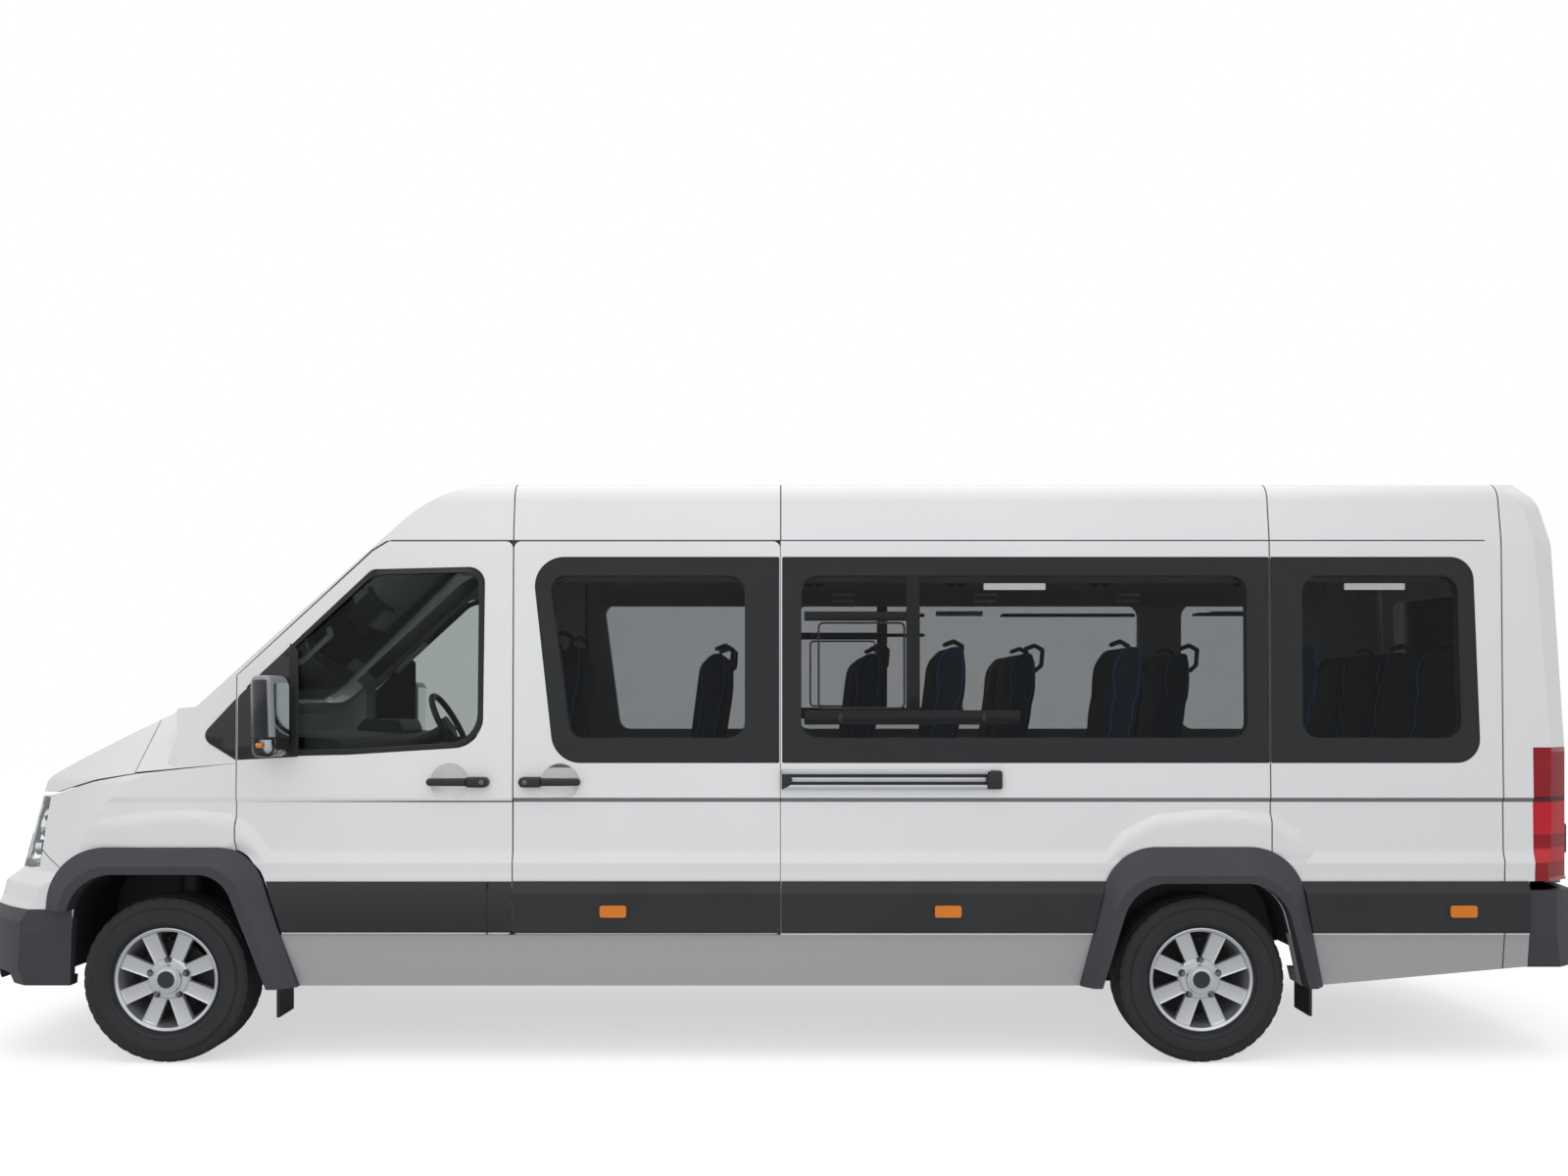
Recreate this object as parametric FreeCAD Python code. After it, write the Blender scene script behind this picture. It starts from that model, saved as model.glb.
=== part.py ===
import FreeCAD, Part
import math
import os
from functools import lru_cache

V = FreeCAD.Vector

# Long high-roof minibus, right-hand drive, with a sliding passenger door on the left.
# Frame: +X forward, +Y left, +Z up, origin on the ground at mid-length. Millimetres.

# ---- overall sizes ----
LENGTH = 7010.0
WIDTH = 2095.0            # over the wheel-arch mouldings, mirrors apart
HEIGHT = 2540.0
WHEELBASE = 4400.0
FRONT_OVERHANG = 909.0
TYRE_RADIUS = 354.0
TYRE_WIDTH = 235.0
RIM_RADIUS = 220.0        # over the rim's outer lip
BEAD_INSET = 32.0         # bead's outer face in from the sidewall
WHEEL_OUT = 990.0         # tyre's outer face from the centre plane
ARCH_FLARE = 62.5         # arch moulding proud of the body side
TRIM_REACH_FRONT = 108.0  # arch moulding's outer edge out from the wheel opening
TRIM_REACH_REAR = 75.0
TRIM_RISE_REAR = 148.0    # the same edge above the rear opening
TRIM_LIP = 34.0           # its proudest line out from the wheel opening

# ---- shell ----
WALL = 60.0               # doors, sides and roof, skin and lining together
SKIN = 40.0               # bonnet, wings and nose panels
GLASS = 5.0
POST_DEPTH = WALL + 60.0   # inner face of the door posts and sills
PILLAR = 44.0             # depth of the posts behind the doors
CANT_RAIL = 55.0          # rail inside the roof's edge
PANEL_GAP = 5.5           # between a door and the panel beside it
LEAF_GAP = 12.0           # between the two rear doors
SEAL_GAP = 0.3            # bonded glass and seated trim
RUN_GAP = 6.0             # moving piece to fixed piece

# ---- heights ----
SILL_Z = 327.0
BAND_LOW_Z = 547.0
BAND_TOP_Z = 775.0
RIDGE_Z = 852.0
WAIST_LINE_Z = 1120.0
GLASS_LOW_Z = 1275.0
CLEAR_LOW_Z = 1382.0
FLOOR_Z = 700.0
FLOOR_THICK = 40.0
GUTTER_Z = HEIGHT - 318.0
GLASS_TOP_Z = HEIGHT - 387.0
CLEAR_TOP_Z = HEIGHT - 467.0
BUMPER_TOP_Z = 655.0
BUMPER_RETURN = 95.0      # the front bumper's lower edge turned in by this much
LAMP_LOW_Z = 812.0
FASCIA_TOP_Z = 830.0
LAMP_TOP_Z = 1118.0
COWL_Z = 1446.0
REAR_DOOR_LOW_Z = 742.0
REAR_DOOR_TOP_Z = HEIGHT - 150.0
TAIL_LAMP_TOP_Z = 1342.0

# ---- stations along the body ----
NOSE_X = LENGTH / 2
TAIL_X = -LENGTH / 2
FRONT_AXLE_X = NOSE_X - FRONT_OVERHANG
REAR_AXLE_X = FRONT_AXLE_X - WHEELBASE
AXLE_Z = TYRE_RADIUS
CAB_FRONT_X = FRONT_AXLE_X - 299.0
CAB_REAR_X = FRONT_AXLE_X - 1474.0
SLIDE_REAR_X = CAB_REAR_X - 1138.0
SEAM_X = REAR_AXLE_X - 293.0
GLASS_END_X = REAR_AXLE_X - 1180.0
REAR_DOOR_X = TAIL_X + 330.0
TAIL_LAMP_REACH = 292.0   # tail lamp's front edge ahead of the tail

# ---- windscreen line on the centre plane ----
SCREEN_FOOT_X = FRONT_AXLE_X + 4.0
SCREEN_FOOT_Z = 1515.0
SCREEN_HEAD_X = FRONT_AXLE_X - 964.0
SCREEN_HEAD_Z = HEIGHT - 108.0
SCREEN_SLOPE = (SCREEN_HEAD_Z - SCREEN_FOOT_Z) / (SCREEN_FOOT_X - SCREEN_HEAD_X)
BONNET_REAR_X = FRONT_AXLE_X + 100.0

# ---- widths ----
HALF = WIDTH / 2 - ARCH_FLARE
TYRE_Y = WHEEL_OUT - TYRE_WIDTH / 2
FRONT_WELL_Y = 560.0
REAR_WELL_Y = 700.0
REAR_DOOR_HALF = 812.0
RAIL_Y = 450.0            # chassis side rails
RAIL_HALF = 35.0          # half the width of a side rail or cross-member
RAIL_DEPTH = 140.0

# ---- plan curvature of nose and tail ----
NOSE_AXIS_X = NOSE_X - 4505.0
NOSE_CORNER_AXIS_X = NOSE_X - 1005.0
NOSE_CORNER_OUT = 207.0
TAIL_AXIS_X = TAIL_X + 4305.0
TAIL_CORNER_AXIS_X = TAIL_X + 900.0
TAIL_CORNER_OUT = 307.0

# ---- steering and doors ----
STEER_SIDE = -1           # steering wheel on the right
STEER_WHEEL_RADIUS = 200.0
STEER_GRIP_RADIUS = 16.0
STEER_RAKE = 28.0         # rim plane leaned from the vertical, degrees
STEER_X = FRONT_AXLE_X - 876.0
STEER_Y = 450.0
STEER_Z = 1400.0
KINGPIN_Y = TYRE_Y - 30.0
STUB_RADIUS = 30.0
ARM_TOP_Z = 250.0         # lower suspension arm
HUB_CLEARANCE = 0.5
HUB_END_Y = TYRE_Y + 62.0


# ---- outlines and solids ----
def rounded_wire(corners, place):
    """Closed wire through corners (u, v, radius), each turned by a tangent arc."""
    ends = []
    for i, (u, v, radius) in enumerate(corners):
        here = V(u, v, 0)
        before = V(*corners[i - 1][:2], 0) - here
        after = V(*corners[(i + 1) % len(corners)][:2], 0) - here
        before.normalize()
        after.normalize()
        if radius <= 0:
            ends.append((here, None, here))
            continue
        half_angle = before.getAngle(after) / 2
        trim = radius / math.tan(half_angle)
        toward = before + after
        toward.normalize()
        middle = here + toward * (radius / math.sin(half_angle) - radius)
        ends.append((here + before * trim, middle, here + after * trim))
    edges = []
    for i, (start, middle, end) in enumerate(ends):
        if middle is not None:
            edges.append(Part.Arc(place(start), place(middle), place(end)).toShape())
        following = ends[(i + 1) % len(ends)][0]
        if (following - end).Length > 1e-6:
            edges.append(Part.LineSegment(place(end), place(following)).toShape())
    return Part.Wire(edges)


def side_wire(corners, y=0.0):
    return rounded_wire(corners, lambda p: V(p.x, y, p.y))


def front_wire(corners, x=0.0):
    return rounded_wire(corners, lambda p: V(x, p.x, p.y))


def plan_wire(corners, z=0.0):
    return rounded_wire(corners, lambda p: V(p.x, p.y, z))


def side_prism(corners, y0, y1):
    """Outline (x, z, radius) carried across from y0 to y1."""
    return Part.Face(side_wire(corners, y0)).extrude(V(0, y1 - y0, 0))


def front_prism(corners, x0, x1):
    """Outline (y, z, radius) carried along from x0 to x1."""
    return Part.Face(front_wire(corners, x0)).extrude(V(x1 - x0, 0, 0))


def plan_prism(corners, z0, z1):
    """Outline (x, y, radius) carried up from z0 to z1."""
    return Part.Face(plan_wire(corners, z0)).extrude(V(0, 0, z1 - z0))


def box(x0, x1, y0, y1, z0, z1):
    return Part.makeBox(x1 - x0, y1 - y0, z1 - z0, V(x0, y0, z0))


def rod(start, end, radius):
    start = V(*start)
    end = V(*end)
    return Part.makeCylinder(radius, (end - start).Length, start, end - start)


def mirrored(shape):
    return shape.mirror(V(0, 0, 0), V(0, 1, 0))


def pair(shape):
    return [shape, mirrored(shape)]


def fused(shapes):
    shapes = list(shapes)
    return shapes[0].fuse(shapes[1:]).removeSplitter() if len(shapes) > 1 else shapes[0]


def cut(shape, *tools):
    return shape.cut(list(tools))


def solids(shapes):
    """Every solid in a shape or a list of shapes."""
    items = shapes if isinstance(shapes, (list, tuple)) else [shapes]
    return [solid for item in items for solid in item.Solids]


def largest(shape):
    return max(shape.Solids, key=lambda solid: solid.Volume)


def save(node, shapes):
    found = [s for s in solids(shapes) if s.Volume > 100.0]
    Part.makeCompound(found).exportStep(f"parts/{node}.step")


# ---- body envelope ----
def body_section():
    """Cross-section corners (y, z, radius), from the crown down the left side."""
    crown_radius = 5600.0
    crown_slope = math.radians(8.66)
    apex = HEIGHT + crown_radius * (1 / math.cos(crown_slope) - 1)
    cant_y = HALF - 73
    left = [
        (cant_y, apex - cant_y * math.tan(crown_slope), 90),
        (HALF - 34, GUTTER_Z, 600),
        (HALF - 18, GLASS_LOW_Z + 13, 0),
        (HALF - 13, WAIST_LINE_Z + 8, 0),
        (HALF - 21, WAIST_LINE_Z - 12, 0),
        (HALF - 16, RIDGE_Z + 48, 60),
        (HALF, RIDGE_Z, 12),
        (HALF - 4, RIDGE_Z - 40, 0),
        (HALF - 4, BAND_LOW_Z + 8, 40),
        (HALF - 32, SILL_Z, 0),
    ]
    right = [(-y, z, radius) for y, z, radius in reversed(left)]
    return [(0, apex, crown_radius)] + left + right


def screen_profile():
    """Windscreen and roof front (x, z, radius) with the open space ahead of it."""
    return [
        (SCREEN_FOOT_X, SCREEN_FOOT_Z, 0),
        (SCREEN_HEAD_X, SCREEN_HEAD_Z, 620),
        (SCREEN_HEAD_X - 650, HEIGHT + 22, 1500),
        (SCREEN_HEAD_X - 1200, HEIGHT + 110, 0),
        (SCREEN_HEAD_X - 1200, HEIGHT + 660, 0),
        (NOSE_X + 995, HEIGHT + 660, 0),
        (NOSE_X + 995, SCREEN_FOOT_Z, 0),
    ]


def nose_profile():
    """Bumper, grille and bonnet line (x, z, radius) with the open space ahead of it."""
    return [
        (NOSE_X - 65, 200, 0),
        (NOSE_X - 5, 400, 0),
        (NOSE_X, 600, 40),
        (NOSE_X - 35, 690, 20),
        (NOSE_X - 50, 755, 15),
        (NOSE_X - 112, 805, 15),
        (NOSE_X - 205, 1195, 90),
        (FRONT_AXLE_X + 139, 1478, 0),
        (SCREEN_FOOT_X + 62, SCREEN_FOOT_Z - 5, 0),
        (SCREEN_FOOT_X, SCREEN_FOOT_Z, 0),
        (FRONT_AXLE_X - 440, HEIGHT + 660, 0),
        (NOSE_X + 995, HEIGHT + 660, 0),
        (NOSE_X + 995, 200, 0),
    ]


def nose_corner_profile():
    """The nose line again, steeper beside the bonnet and closed above its rear edge."""
    nose = nose_profile()
    rear_x = NOSE_X - 412
    return nose[:7] + [(rear_x, nose[7][1], 0), (rear_x, HEIGHT + 660, 0)] + nose[-2:]


def tail_profile():
    """Rear bumper, doors and roof end (x, z, radius) with the open space behind."""
    return [
        (TAIL_X + 10, 200, 0),
        (TAIL_X, 450, 0),
        (TAIL_X + 2, 735, 15),
        (TAIL_X + 22, 790, 0),
        (TAIL_X + 22, 1322, 0),
        (TAIL_X + 72, HEIGHT - 321, 200),
        (TAIL_X + 125, HEIGHT - 130, 150),
        (TAIL_X + 305, HEIGHT + 20, 0),
        (TAIL_X + 605, HEIGHT + 160, 0),
        (TAIL_X + 605, HEIGHT + 660, 0),
        (TAIL_X - 995, HEIGHT + 660, 0),
        (TAIL_X - 995, 200, 0),
    ]


def swept_about(corners, axis_x, half_angle, outward):
    """A profile turned about an upright axis, so that the surface bows in plan."""
    wire = side_wire(corners)
    if outward:
        wire = wire.makeOffset2D(outward, 2)
    solid = Part.Face(wire).revolve(V(axis_x, 0, 0), V(0, 0, 1), 2 * half_angle)
    solid.rotate(V(axis_x, 0, 0), V(0, 0, 1), -half_angle)
    return solid


def section_prism(inset):
    wire = front_wire(body_section(), TAIL_X - 200)
    if inset:
        wire = wire.makeOffset2D(-inset, 2)
    return Part.Face(wire).extrude(V(LENGTH + 400, 0, 0))


def shifted(corners, dx):
    return [(x + dx, z, radius) for x, z, radius in corners]


@lru_cache(maxsize=None)
def envelope(inset):
    """The body's outer form, moved inward by inset."""
    form = section_prism(inset)
    form = form.cut(swept_about(screen_profile(), NOSE_AXIS_X, 45, inset))
    nose = nose_profile()
    form = form.cut(swept_about(nose, NOSE_AXIS_X, 45, inset))
    nose_corner = shifted(nose_corner_profile(), NOSE_CORNER_OUT)
    form = form.cut(swept_about(nose_corner, NOSE_CORNER_AXIS_X, 87, inset))
    tail = tail_profile()
    form = form.cut(swept_about(tail, TAIL_AXIS_X, 30, inset))
    tail_corner = shifted(tail, -TAIL_CORNER_OUT)
    form = form.cut(swept_about(tail_corner, TAIL_CORNER_AXIS_X, 80, inset))
    return largest(form)


def skin(outer, inner, region):
    """The layer between two insets, inside a region."""
    return envelope(outer).common(region).cut(envelope(inner))


# ---- outlines seen from the side: (x, z, radius) ----
def arch_outline(front, grow=0.0, rise=None):
    """Wheel opening, wider by grow at each side and higher by rise. Offsets are from the axle."""
    axle_x = FRONT_AXLE_X if front else REAR_AXLE_X
    low = SILL_Z - 60
    if front:
        corners = [(-476, low, 0), (-262, 810, 150), (372, 810, 190), (420, low, 0)]
    else:
        corners = [(456, low, 0), (302, 773, 190), (-318, 773, 200), (-446, low, 0)]
    top = grow if rise is None else rise
    grown = []
    for dx, z, radius in corners:
        side = 1 if dx > 0 else -1
        up = top if z > AXLE_Z else 0.0
        wider = grow * 0.5 if radius else 0.0
        grown.append((axle_x + dx + side * grow, z + up, radius + wider))
    return grown


def arch_prism(front, y0, y1, grow=0.0):
    return side_prism(arch_outline(front, grow), y0, y1)


def trim_outline(front, clearance=0.0):
    """Outer edge of an arch moulding."""
    reach = TRIM_REACH_FRONT if front else TRIM_REACH_REAR
    rise = TRIM_REACH_FRONT if front else TRIM_RISE_REAR
    return arch_outline(front, reach + clearance, rise + clearance)


def cab_door_outline(gap):
    return [
        (CAB_REAR_X + gap, BAND_LOW_Z + gap, 20),
        (CAB_FRONT_X - gap, BAND_LOW_Z + gap, 0),
        (CAB_FRONT_X - gap, 1648, 0),
        (FRONT_AXLE_X - 872 - gap, GUTTER_Z - 42 - gap, 30),
        (FRONT_AXLE_X - 940 - gap, GUTTER_Z - gap, 30),
        (CAB_REAR_X + gap, GUTTER_Z - gap, 30),
    ]


def cab_window_outline(grow=0.0):
    """Opening for the drop glass and the fixed corner pane ahead of it."""
    return [
        (CAB_REAR_X + 120 - grow, GLASS_TOP_Z - 41 + grow, 70),
        (FRONT_AXLE_X - 871 + grow * 0.4, GLASS_TOP_Z - 53 + grow, 50),
        (CAB_FRONT_X - 42 + grow, 1600 + grow, 15),
        (CAB_FRONT_X - 42 + grow, GLASS_LOW_Z + 25 - grow, 15),
        (CAB_REAR_X + 700, GLASS_LOW_Z + 35 - grow, 0),
        (CAB_REAR_X + 128 - grow, GLASS_LOW_Z + 70 - grow, 130),
    ]


def slide_door_outline(gap):
    return [
        (SLIDE_REAR_X + gap, BAND_LOW_Z + gap, 20),
        (CAB_REAR_X - gap, BAND_LOW_Z + gap, 20),
        (CAB_REAR_X - gap, GUTTER_Z - gap, 30),
        (SLIDE_REAR_X + gap, GUTTER_Z - gap, 30),
    ]


def band_pane_outlines():
    """Dark bonded panes of the side window band, front to back."""
    gap = PANEL_GAP / 2
    front_top = CAB_REAR_X - 76
    front_low = CAB_REAR_X - 175
    first = [
        (front_low, GLASS_LOW_Z, 125),
        (front_top, GLASS_TOP_Z, 125),
        (SLIDE_REAR_X + gap + 3, GLASS_TOP_Z, 8),
        (SLIDE_REAR_X + gap + 3, GLASS_LOW_Z, 8),
    ]
    middle = [
        (SLIDE_REAR_X - gap - 3, GLASS_LOW_Z, 8),
        (SLIDE_REAR_X - gap - 3, GLASS_TOP_Z, 8),
        (SEAM_X + gap, GLASS_TOP_Z, 8),
        (SEAM_X + gap, GLASS_LOW_Z, 8),
    ]
    last = [
        (SEAM_X - gap, GLASS_LOW_Z, 8),
        (SEAM_X - gap, GLASS_TOP_Z, 8),
        (GLASS_END_X + 20, GLASS_TOP_Z, 100),
        (GLASS_END_X - 8, GLASS_LOW_Z, 100),
    ]
    return [first, middle, last]


def window_outlines():
    """Clear windows through the side wall, front to back."""
    low = CLEAR_LOW_Z
    top = CLEAR_TOP_Z
    first = [(CAB_REAR_X - 241, low, 60), (CAB_REAR_X - 151, top, 60),
             (SLIDE_REAR_X + 153, top, 70), (SLIDE_REAR_X + 153, low, 70)]
    middle = [(SLIDE_REAR_X - 88, low, 70), (SLIDE_REAR_X - 88, top, 70),
              (SEAM_X + 94, top, 70), (SEAM_X + 94, low, 70)]
    last = [(SEAM_X - 141, low, 70), (SEAM_X - 141, top, 70),
            (GLASS_END_X + 84, top, 70), (GLASS_END_X + 69, low, 70)]
    return [first, middle, last]


def bonnet_low_z(x):
    """Lower edge of the bonnet's front, seen from the side."""
    return LAMP_TOP_Z + 6 + (NOSE_X + 200 - x) * 16 / 552


def bonnet_outline():
    return [
        (FRONT_AXLE_X + 143, 1231, 0),
        (BONNET_REAR_X, COWL_Z, 0),
        (BONNET_REAR_X, 1700, 0),
        (NOSE_X + 200, 1700, 0),
        (NOSE_X + 200, bonnet_low_z(NOSE_X + 200), 0),
        (NOSE_X - 352, bonnet_low_z(NOSE_X - 352), 0),
        (FRONT_AXLE_X + 329, 1202, 0),
    ]


def screen_opening():
    """Windscreen edge seen from the front (y, z, radius)."""
    return [
        (-872, 1528, 70), (-752, GUTTER_Z + 92, 90),
        (752, GUTTER_Z + 92, 90), (872, 1528, 70),
    ]


def rear_door_opening(gap, middle=0.0):
    """Left leaf seen from behind (y, z, radius), from middle outward."""
    return [
        (middle, REAR_DOOR_LOW_Z, 0), (middle, REAR_DOOR_TOP_Z, 0),
        (REAR_DOOR_HALF - 40 - gap, REAR_DOOR_TOP_Z, 60), (REAR_DOOR_HALF - gap, 1500, 0),
        (REAR_DOOR_HALF - gap, REAR_DOOR_LOW_Z, 40),
    ]


def rear_window_outline(grow=0.0):
    return [
        (110 - grow, GLASS_LOW_Z + 60 - grow, 50), (110 - grow, CLEAR_TOP_Z + grow, 50),
        (REAR_DOOR_HALF - 125 + grow, CLEAR_TOP_Z + grow, 60),
        (REAR_DOOR_HALF - 105 + grow, GLASS_LOW_Z + 60 - grow, 60),
    ]


FAR = 1400.0              # beyond any side of the body
DOOR_STOP_LOW_Z = 850.0
DOOR_STOP_TOP_Z = 1990.0


def side_space(x0, x1, z0, z1):
    """Region on the left side, out from the rear door's edge."""
    return box(x0, x1, REAR_DOOR_HALF, FAR, z0, z1)


# ---- fixed body panels ----
def roof_panel():
    region = box(TAIL_X, NOSE_X, -FAR, FAR, GUTTER_Z, HEIGHT + 100)
    shell = skin(0, WALL, region)
    rear_leaf = front_prism(rear_door_opening(-PANEL_GAP, -1.0), TAIL_X - 100, REAR_DOOR_X)
    screen = front_prism(screen_opening(), FRONT_AXLE_X - 1300, NOSE_X)
    shell = cut(shell, rear_leaf, mirrored(rear_leaf), screen)
    rail_region = box(REAR_DOOR_X + 200, CAB_FRONT_X - 640, 600, FAR, GUTTER_Z, GUTTER_Z + 70)
    cant_rail = skin(WALL, WALL + CANT_RAIL, rail_region)
    return largest(fused([shell] + pair(cant_rail)))


def side_glass_recess():
    """Shallow step that the bonded panes lie in."""
    depth = GLASS + 1
    region = fused([side_prism(pane, REAR_DOOR_HALF, FAR) for pane in band_pane_outlines()])
    return skin(-20, depth, region)


def lamp_block():
    """Rear corner taken up by the tail lamp."""
    return box(TAIL_X - 50, TAIL_X + TAIL_LAMP_REACH, REAR_DOOR_HALF + 8, FAR,
               BAND_TOP_Z, TAIL_LAMP_TOP_Z)


def door_sill():
    """Closed sill under the doors, with the entry step inboard."""
    x0 = SLIDE_REAR_X
    x1 = FRONT_AXLE_X - 455
    return skin(0, POST_DEPTH, side_space(x0, x1, SILL_Z, BAND_LOW_Z))


def door_pillar(x, width, z0, z1):
    """Upright post that the doors close onto, inboard of them."""
    region = side_space(x - width / 2, x + width / 2, z0, z1)
    return skin(WALL + RUN_GAP, WALL + RUN_GAP + PILLAR, region)


def door_stops():
    """Rubber stops on the post behind the cab door, that the closed door rests on."""
    stops = []
    for z in (DOOR_STOP_LOW_Z, DOOR_STOP_TOP_Z):
        region = side_space(CAB_REAR_X + 20, CAB_REAR_X + 44, z - 30, z + 30)
        stops.append(skin(WALL + SEAL_GAP, WALL + RUN_GAP + 1, region))
    return stops


def side_panel(left):
    front_x = SLIDE_REAR_X if left else CAB_REAR_X
    panel = skin(0, WALL, side_space(TAIL_X, front_x, SILL_Z, GUTTER_Z))
    tools = [arch_prism(False, REAR_WELL_Y, FAR), lamp_block()]
    tools.append(box(TAIL_X - 50, TAIL_X + 315, REAR_DOOR_HALF - 10, FAR, 0, BAND_TOP_Z))
    tools.append(side_glass_recess())
    tools += [side_prism(outline, REAR_DOOR_HALF, FAR) for outline in window_outlines()]
    rear_leaf = front_prism(rear_door_opening(-PANEL_GAP, -1.0), TAIL_X - 100, REAR_DOOR_X)
    rise = [(TAIL_X, 200, 0), (REAR_AXLE_X - 490, 200, 0), (REAR_AXLE_X - 490, SILL_Z, 0),
            (REAR_AXLE_X - 1366, 408, 0), (TAIL_X, 420, 0)]
    tools += [rear_leaf, side_prism(rise, 500, FAR)]
    panel = largest(cut(panel, *tools))
    pieces = [panel]
    if left:
        pieces.append(door_sill())
    else:
        sill = skin(WALL, POST_DEPTH, side_space(SLIDE_REAR_X, CAB_REAR_X, SILL_Z, BAND_LOW_Z))
        front = skin(0, POST_DEPTH, side_space(CAB_REAR_X, FRONT_AXLE_X - 455, SILL_Z, BAND_LOW_Z))
        pieces += [sill, front]
    pieces.append(door_pillar(CAB_REAR_X, 110, BAND_LOW_Z - 60, GUTTER_Z))
    pieces += door_stops()
    if left:
        pieces.append(door_pillar(SLIDE_REAR_X - 20, 70, BAND_LOW_Z - 60, GUTTER_Z))
        foot = side_space(SLIDE_REAR_X - 55, SLIDE_REAR_X - 2, BAND_LOW_Z + 2, GUTTER_Z)
        pieces.append(skin(WALL - 1, WALL + RUN_GAP + 1, foot))
    else:
        foot = side_space(CAB_REAR_X - 55, CAB_REAR_X - 2, BAND_LOW_Z + 2, GUTTER_Z)
        pieces.append(skin(WALL - 1, WALL + RUN_GAP + 1, foot))
    whole = largest(fused(pieces))
    return whole if left else mirrored(whole)


def sliding_door():
    door = skin(0, WALL, side_prism(slide_door_outline(PANEL_GAP / 2), REAR_DOOR_HALF, FAR))
    tools = [side_glass_recess()]
    tools.append(side_prism(window_outlines()[0], REAR_DOOR_HALF, FAR))
    tools.append(handle_cup(SLIDE_HANDLE_X - 40))
    door = largest(cut(door, *tools))
    rollers = []
    for x in (SLIDE_REAR_X + 60, CAB_REAR_X - 160):
        rollers.append(box(x, x + 60, HALF - 112, HALF - 50, BAND_LOW_Z + SEAL_GAP, BAND_LOW_Z + 40))
    return largest(fused([door] + rollers))


def side_panes(left):
    panes = []
    for outline in band_pane_outlines():
        panes.append(skin(0, GLASS, side_prism(outline, REAR_DOOR_HALF, FAR)))
    return panes if left else [mirrored(pane) for pane in panes]


def cab_frame():
    """Windscreen pillars, cowl, bulkhead and the floor-side of the cab."""
    opening = side_prism(cab_door_outline(-PANEL_GAP / 2), 500, FAR)
    region = side_prism([
        (CAB_FRONT_X + PANEL_GAP / 2, GLASS_LOW_Z, 0),
        (FRONT_AXLE_X + 137, 1236, 0),
        (BONNET_REAR_X - RUN_GAP, COWL_Z, 0),
        (BONNET_REAR_X - RUN_GAP, 1700, 0),
        (FRONT_AXLE_X - 200, GUTTER_Z, 0),
        (CAB_REAR_X + 200, GUTTER_Z, 0),
        (CAB_REAR_X + 200, 1700, 0),
    ], -FAR, FAR)
    shell = skin(0, WALL, region)
    screen = front_prism(screen_opening(), FRONT_AXLE_X - 1300, NOSE_X)
    shell = cut(shell, opening, mirrored(opening), screen)
    bulkhead = envelope(SKIN + 12).common(
        box(FRONT_AXLE_X - 150, FRONT_AXLE_X - 110, -FAR, FAR, FLOOR_Z, 1470))
    shelf = envelope(SKIN + 12).common(
        box(FRONT_AXLE_X - 150, FRONT_AXLE_X + 30, -FAR, FAR, 1380, 1420))
    post_region = side_space(CAB_FRONT_X - 40, CAB_FRONT_X + 150, FLOOR_Z, 1380)
    post = skin(WALL + RUN_GAP, POST_DEPTH, post_region)
    post_front = skin(SKIN + 12, POST_DEPTH, side_space(
        CAB_FRONT_X + 20, CAB_FRONT_X + 150, FLOOR_Z, 1380))
    frame = fused([shell, bulkhead, shelf] + pair(post) + pair(post_front))
    wells = pair(arch_prism(True, FRONT_WELL_Y - 12, FAR, 14))
    return largest(cut(frame, opening, mirrored(opening), *wells))


def wing_region():
    return side_prism([
        (CAB_FRONT_X + PANEL_GAP / 2, 500, 0),
        (CAB_FRONT_X + PANEL_GAP / 2, GLASS_LOW_Z - 1, 0),
        (FRONT_AXLE_X + 137, 1228, 0),
        (FRONT_AXLE_X + 329, 1194, 0),
        (NOSE_X - 352, LAMP_TOP_Z + 14, 0),
        (NOSE_X - 260, LAMP_TOP_Z, 0),
        (NOSE_X - 300, 900, 0),
        (FRONT_AXLE_X + 404, 800, 0),
        (FRONT_AXLE_X + 380, 500, 0),
    ], 600, FAR)


def front_wings():
    wing = cut(skin(0, SKIN, wing_region()), arch_prism(True, 500, FAR), lamp_region())
    return pair(largest(wing))


def lamp_region(inset=0.0):
    return front_prism([
        (560 + inset, LAMP_TOP_Z - 36 - inset, 20), (640 + inset, LAMP_TOP_Z - inset, 30),
        (FAR, LAMP_TOP_Z - inset, 0), (FAR, LAMP_LOW_Z + inset, 0),
        (640 + inset, LAMP_LOW_Z + inset, 30), (560 + inset, LAMP_TOP_Z - 110 - inset, 20),
    ], NOSE_X - 312 + inset, NOSE_X + 50)


def headlamps():
    return pair(largest(skin(1, 90, lamp_region(SEAL_GAP))))


def bonnet_buffer(y):
    """Rubber buffer that the closed bonnet rests on."""
    x = NOSE_X - 214
    return rod((x, y, LAMP_TOP_Z - 12), (x, y, bonnet_low_z(x) - SEAL_GAP), 6)


def front_grille():
    """Slatted panel between the headlamps, with the bonnet's two buffers."""
    low = FASCIA_TOP_Z + SEAL_GAP
    outline = [(-550, low, 20), (-550, LAMP_TOP_Z - 4, 40),
               (550, LAMP_TOP_Z - 4, 40), (550, low, 20)]
    panel = skin(4, 34, front_prism(outline, NOSE_X - 400, NOSE_X + 50))
    slots = []
    slot_count = 4
    pitch = (LAMP_TOP_Z - LAMP_LOW_Z - 60) / slot_count
    for row in range(slot_count):
        z = LAMP_LOW_Z + 44 + row * pitch
        slots.append(box(NOSE_X - 500, NOSE_X, -500, 500, z, z + pitch - 22))
    return largest(fused([cut(panel, *slots), bonnet_buffer(-300), bonnet_buffer(300)]))


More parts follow.
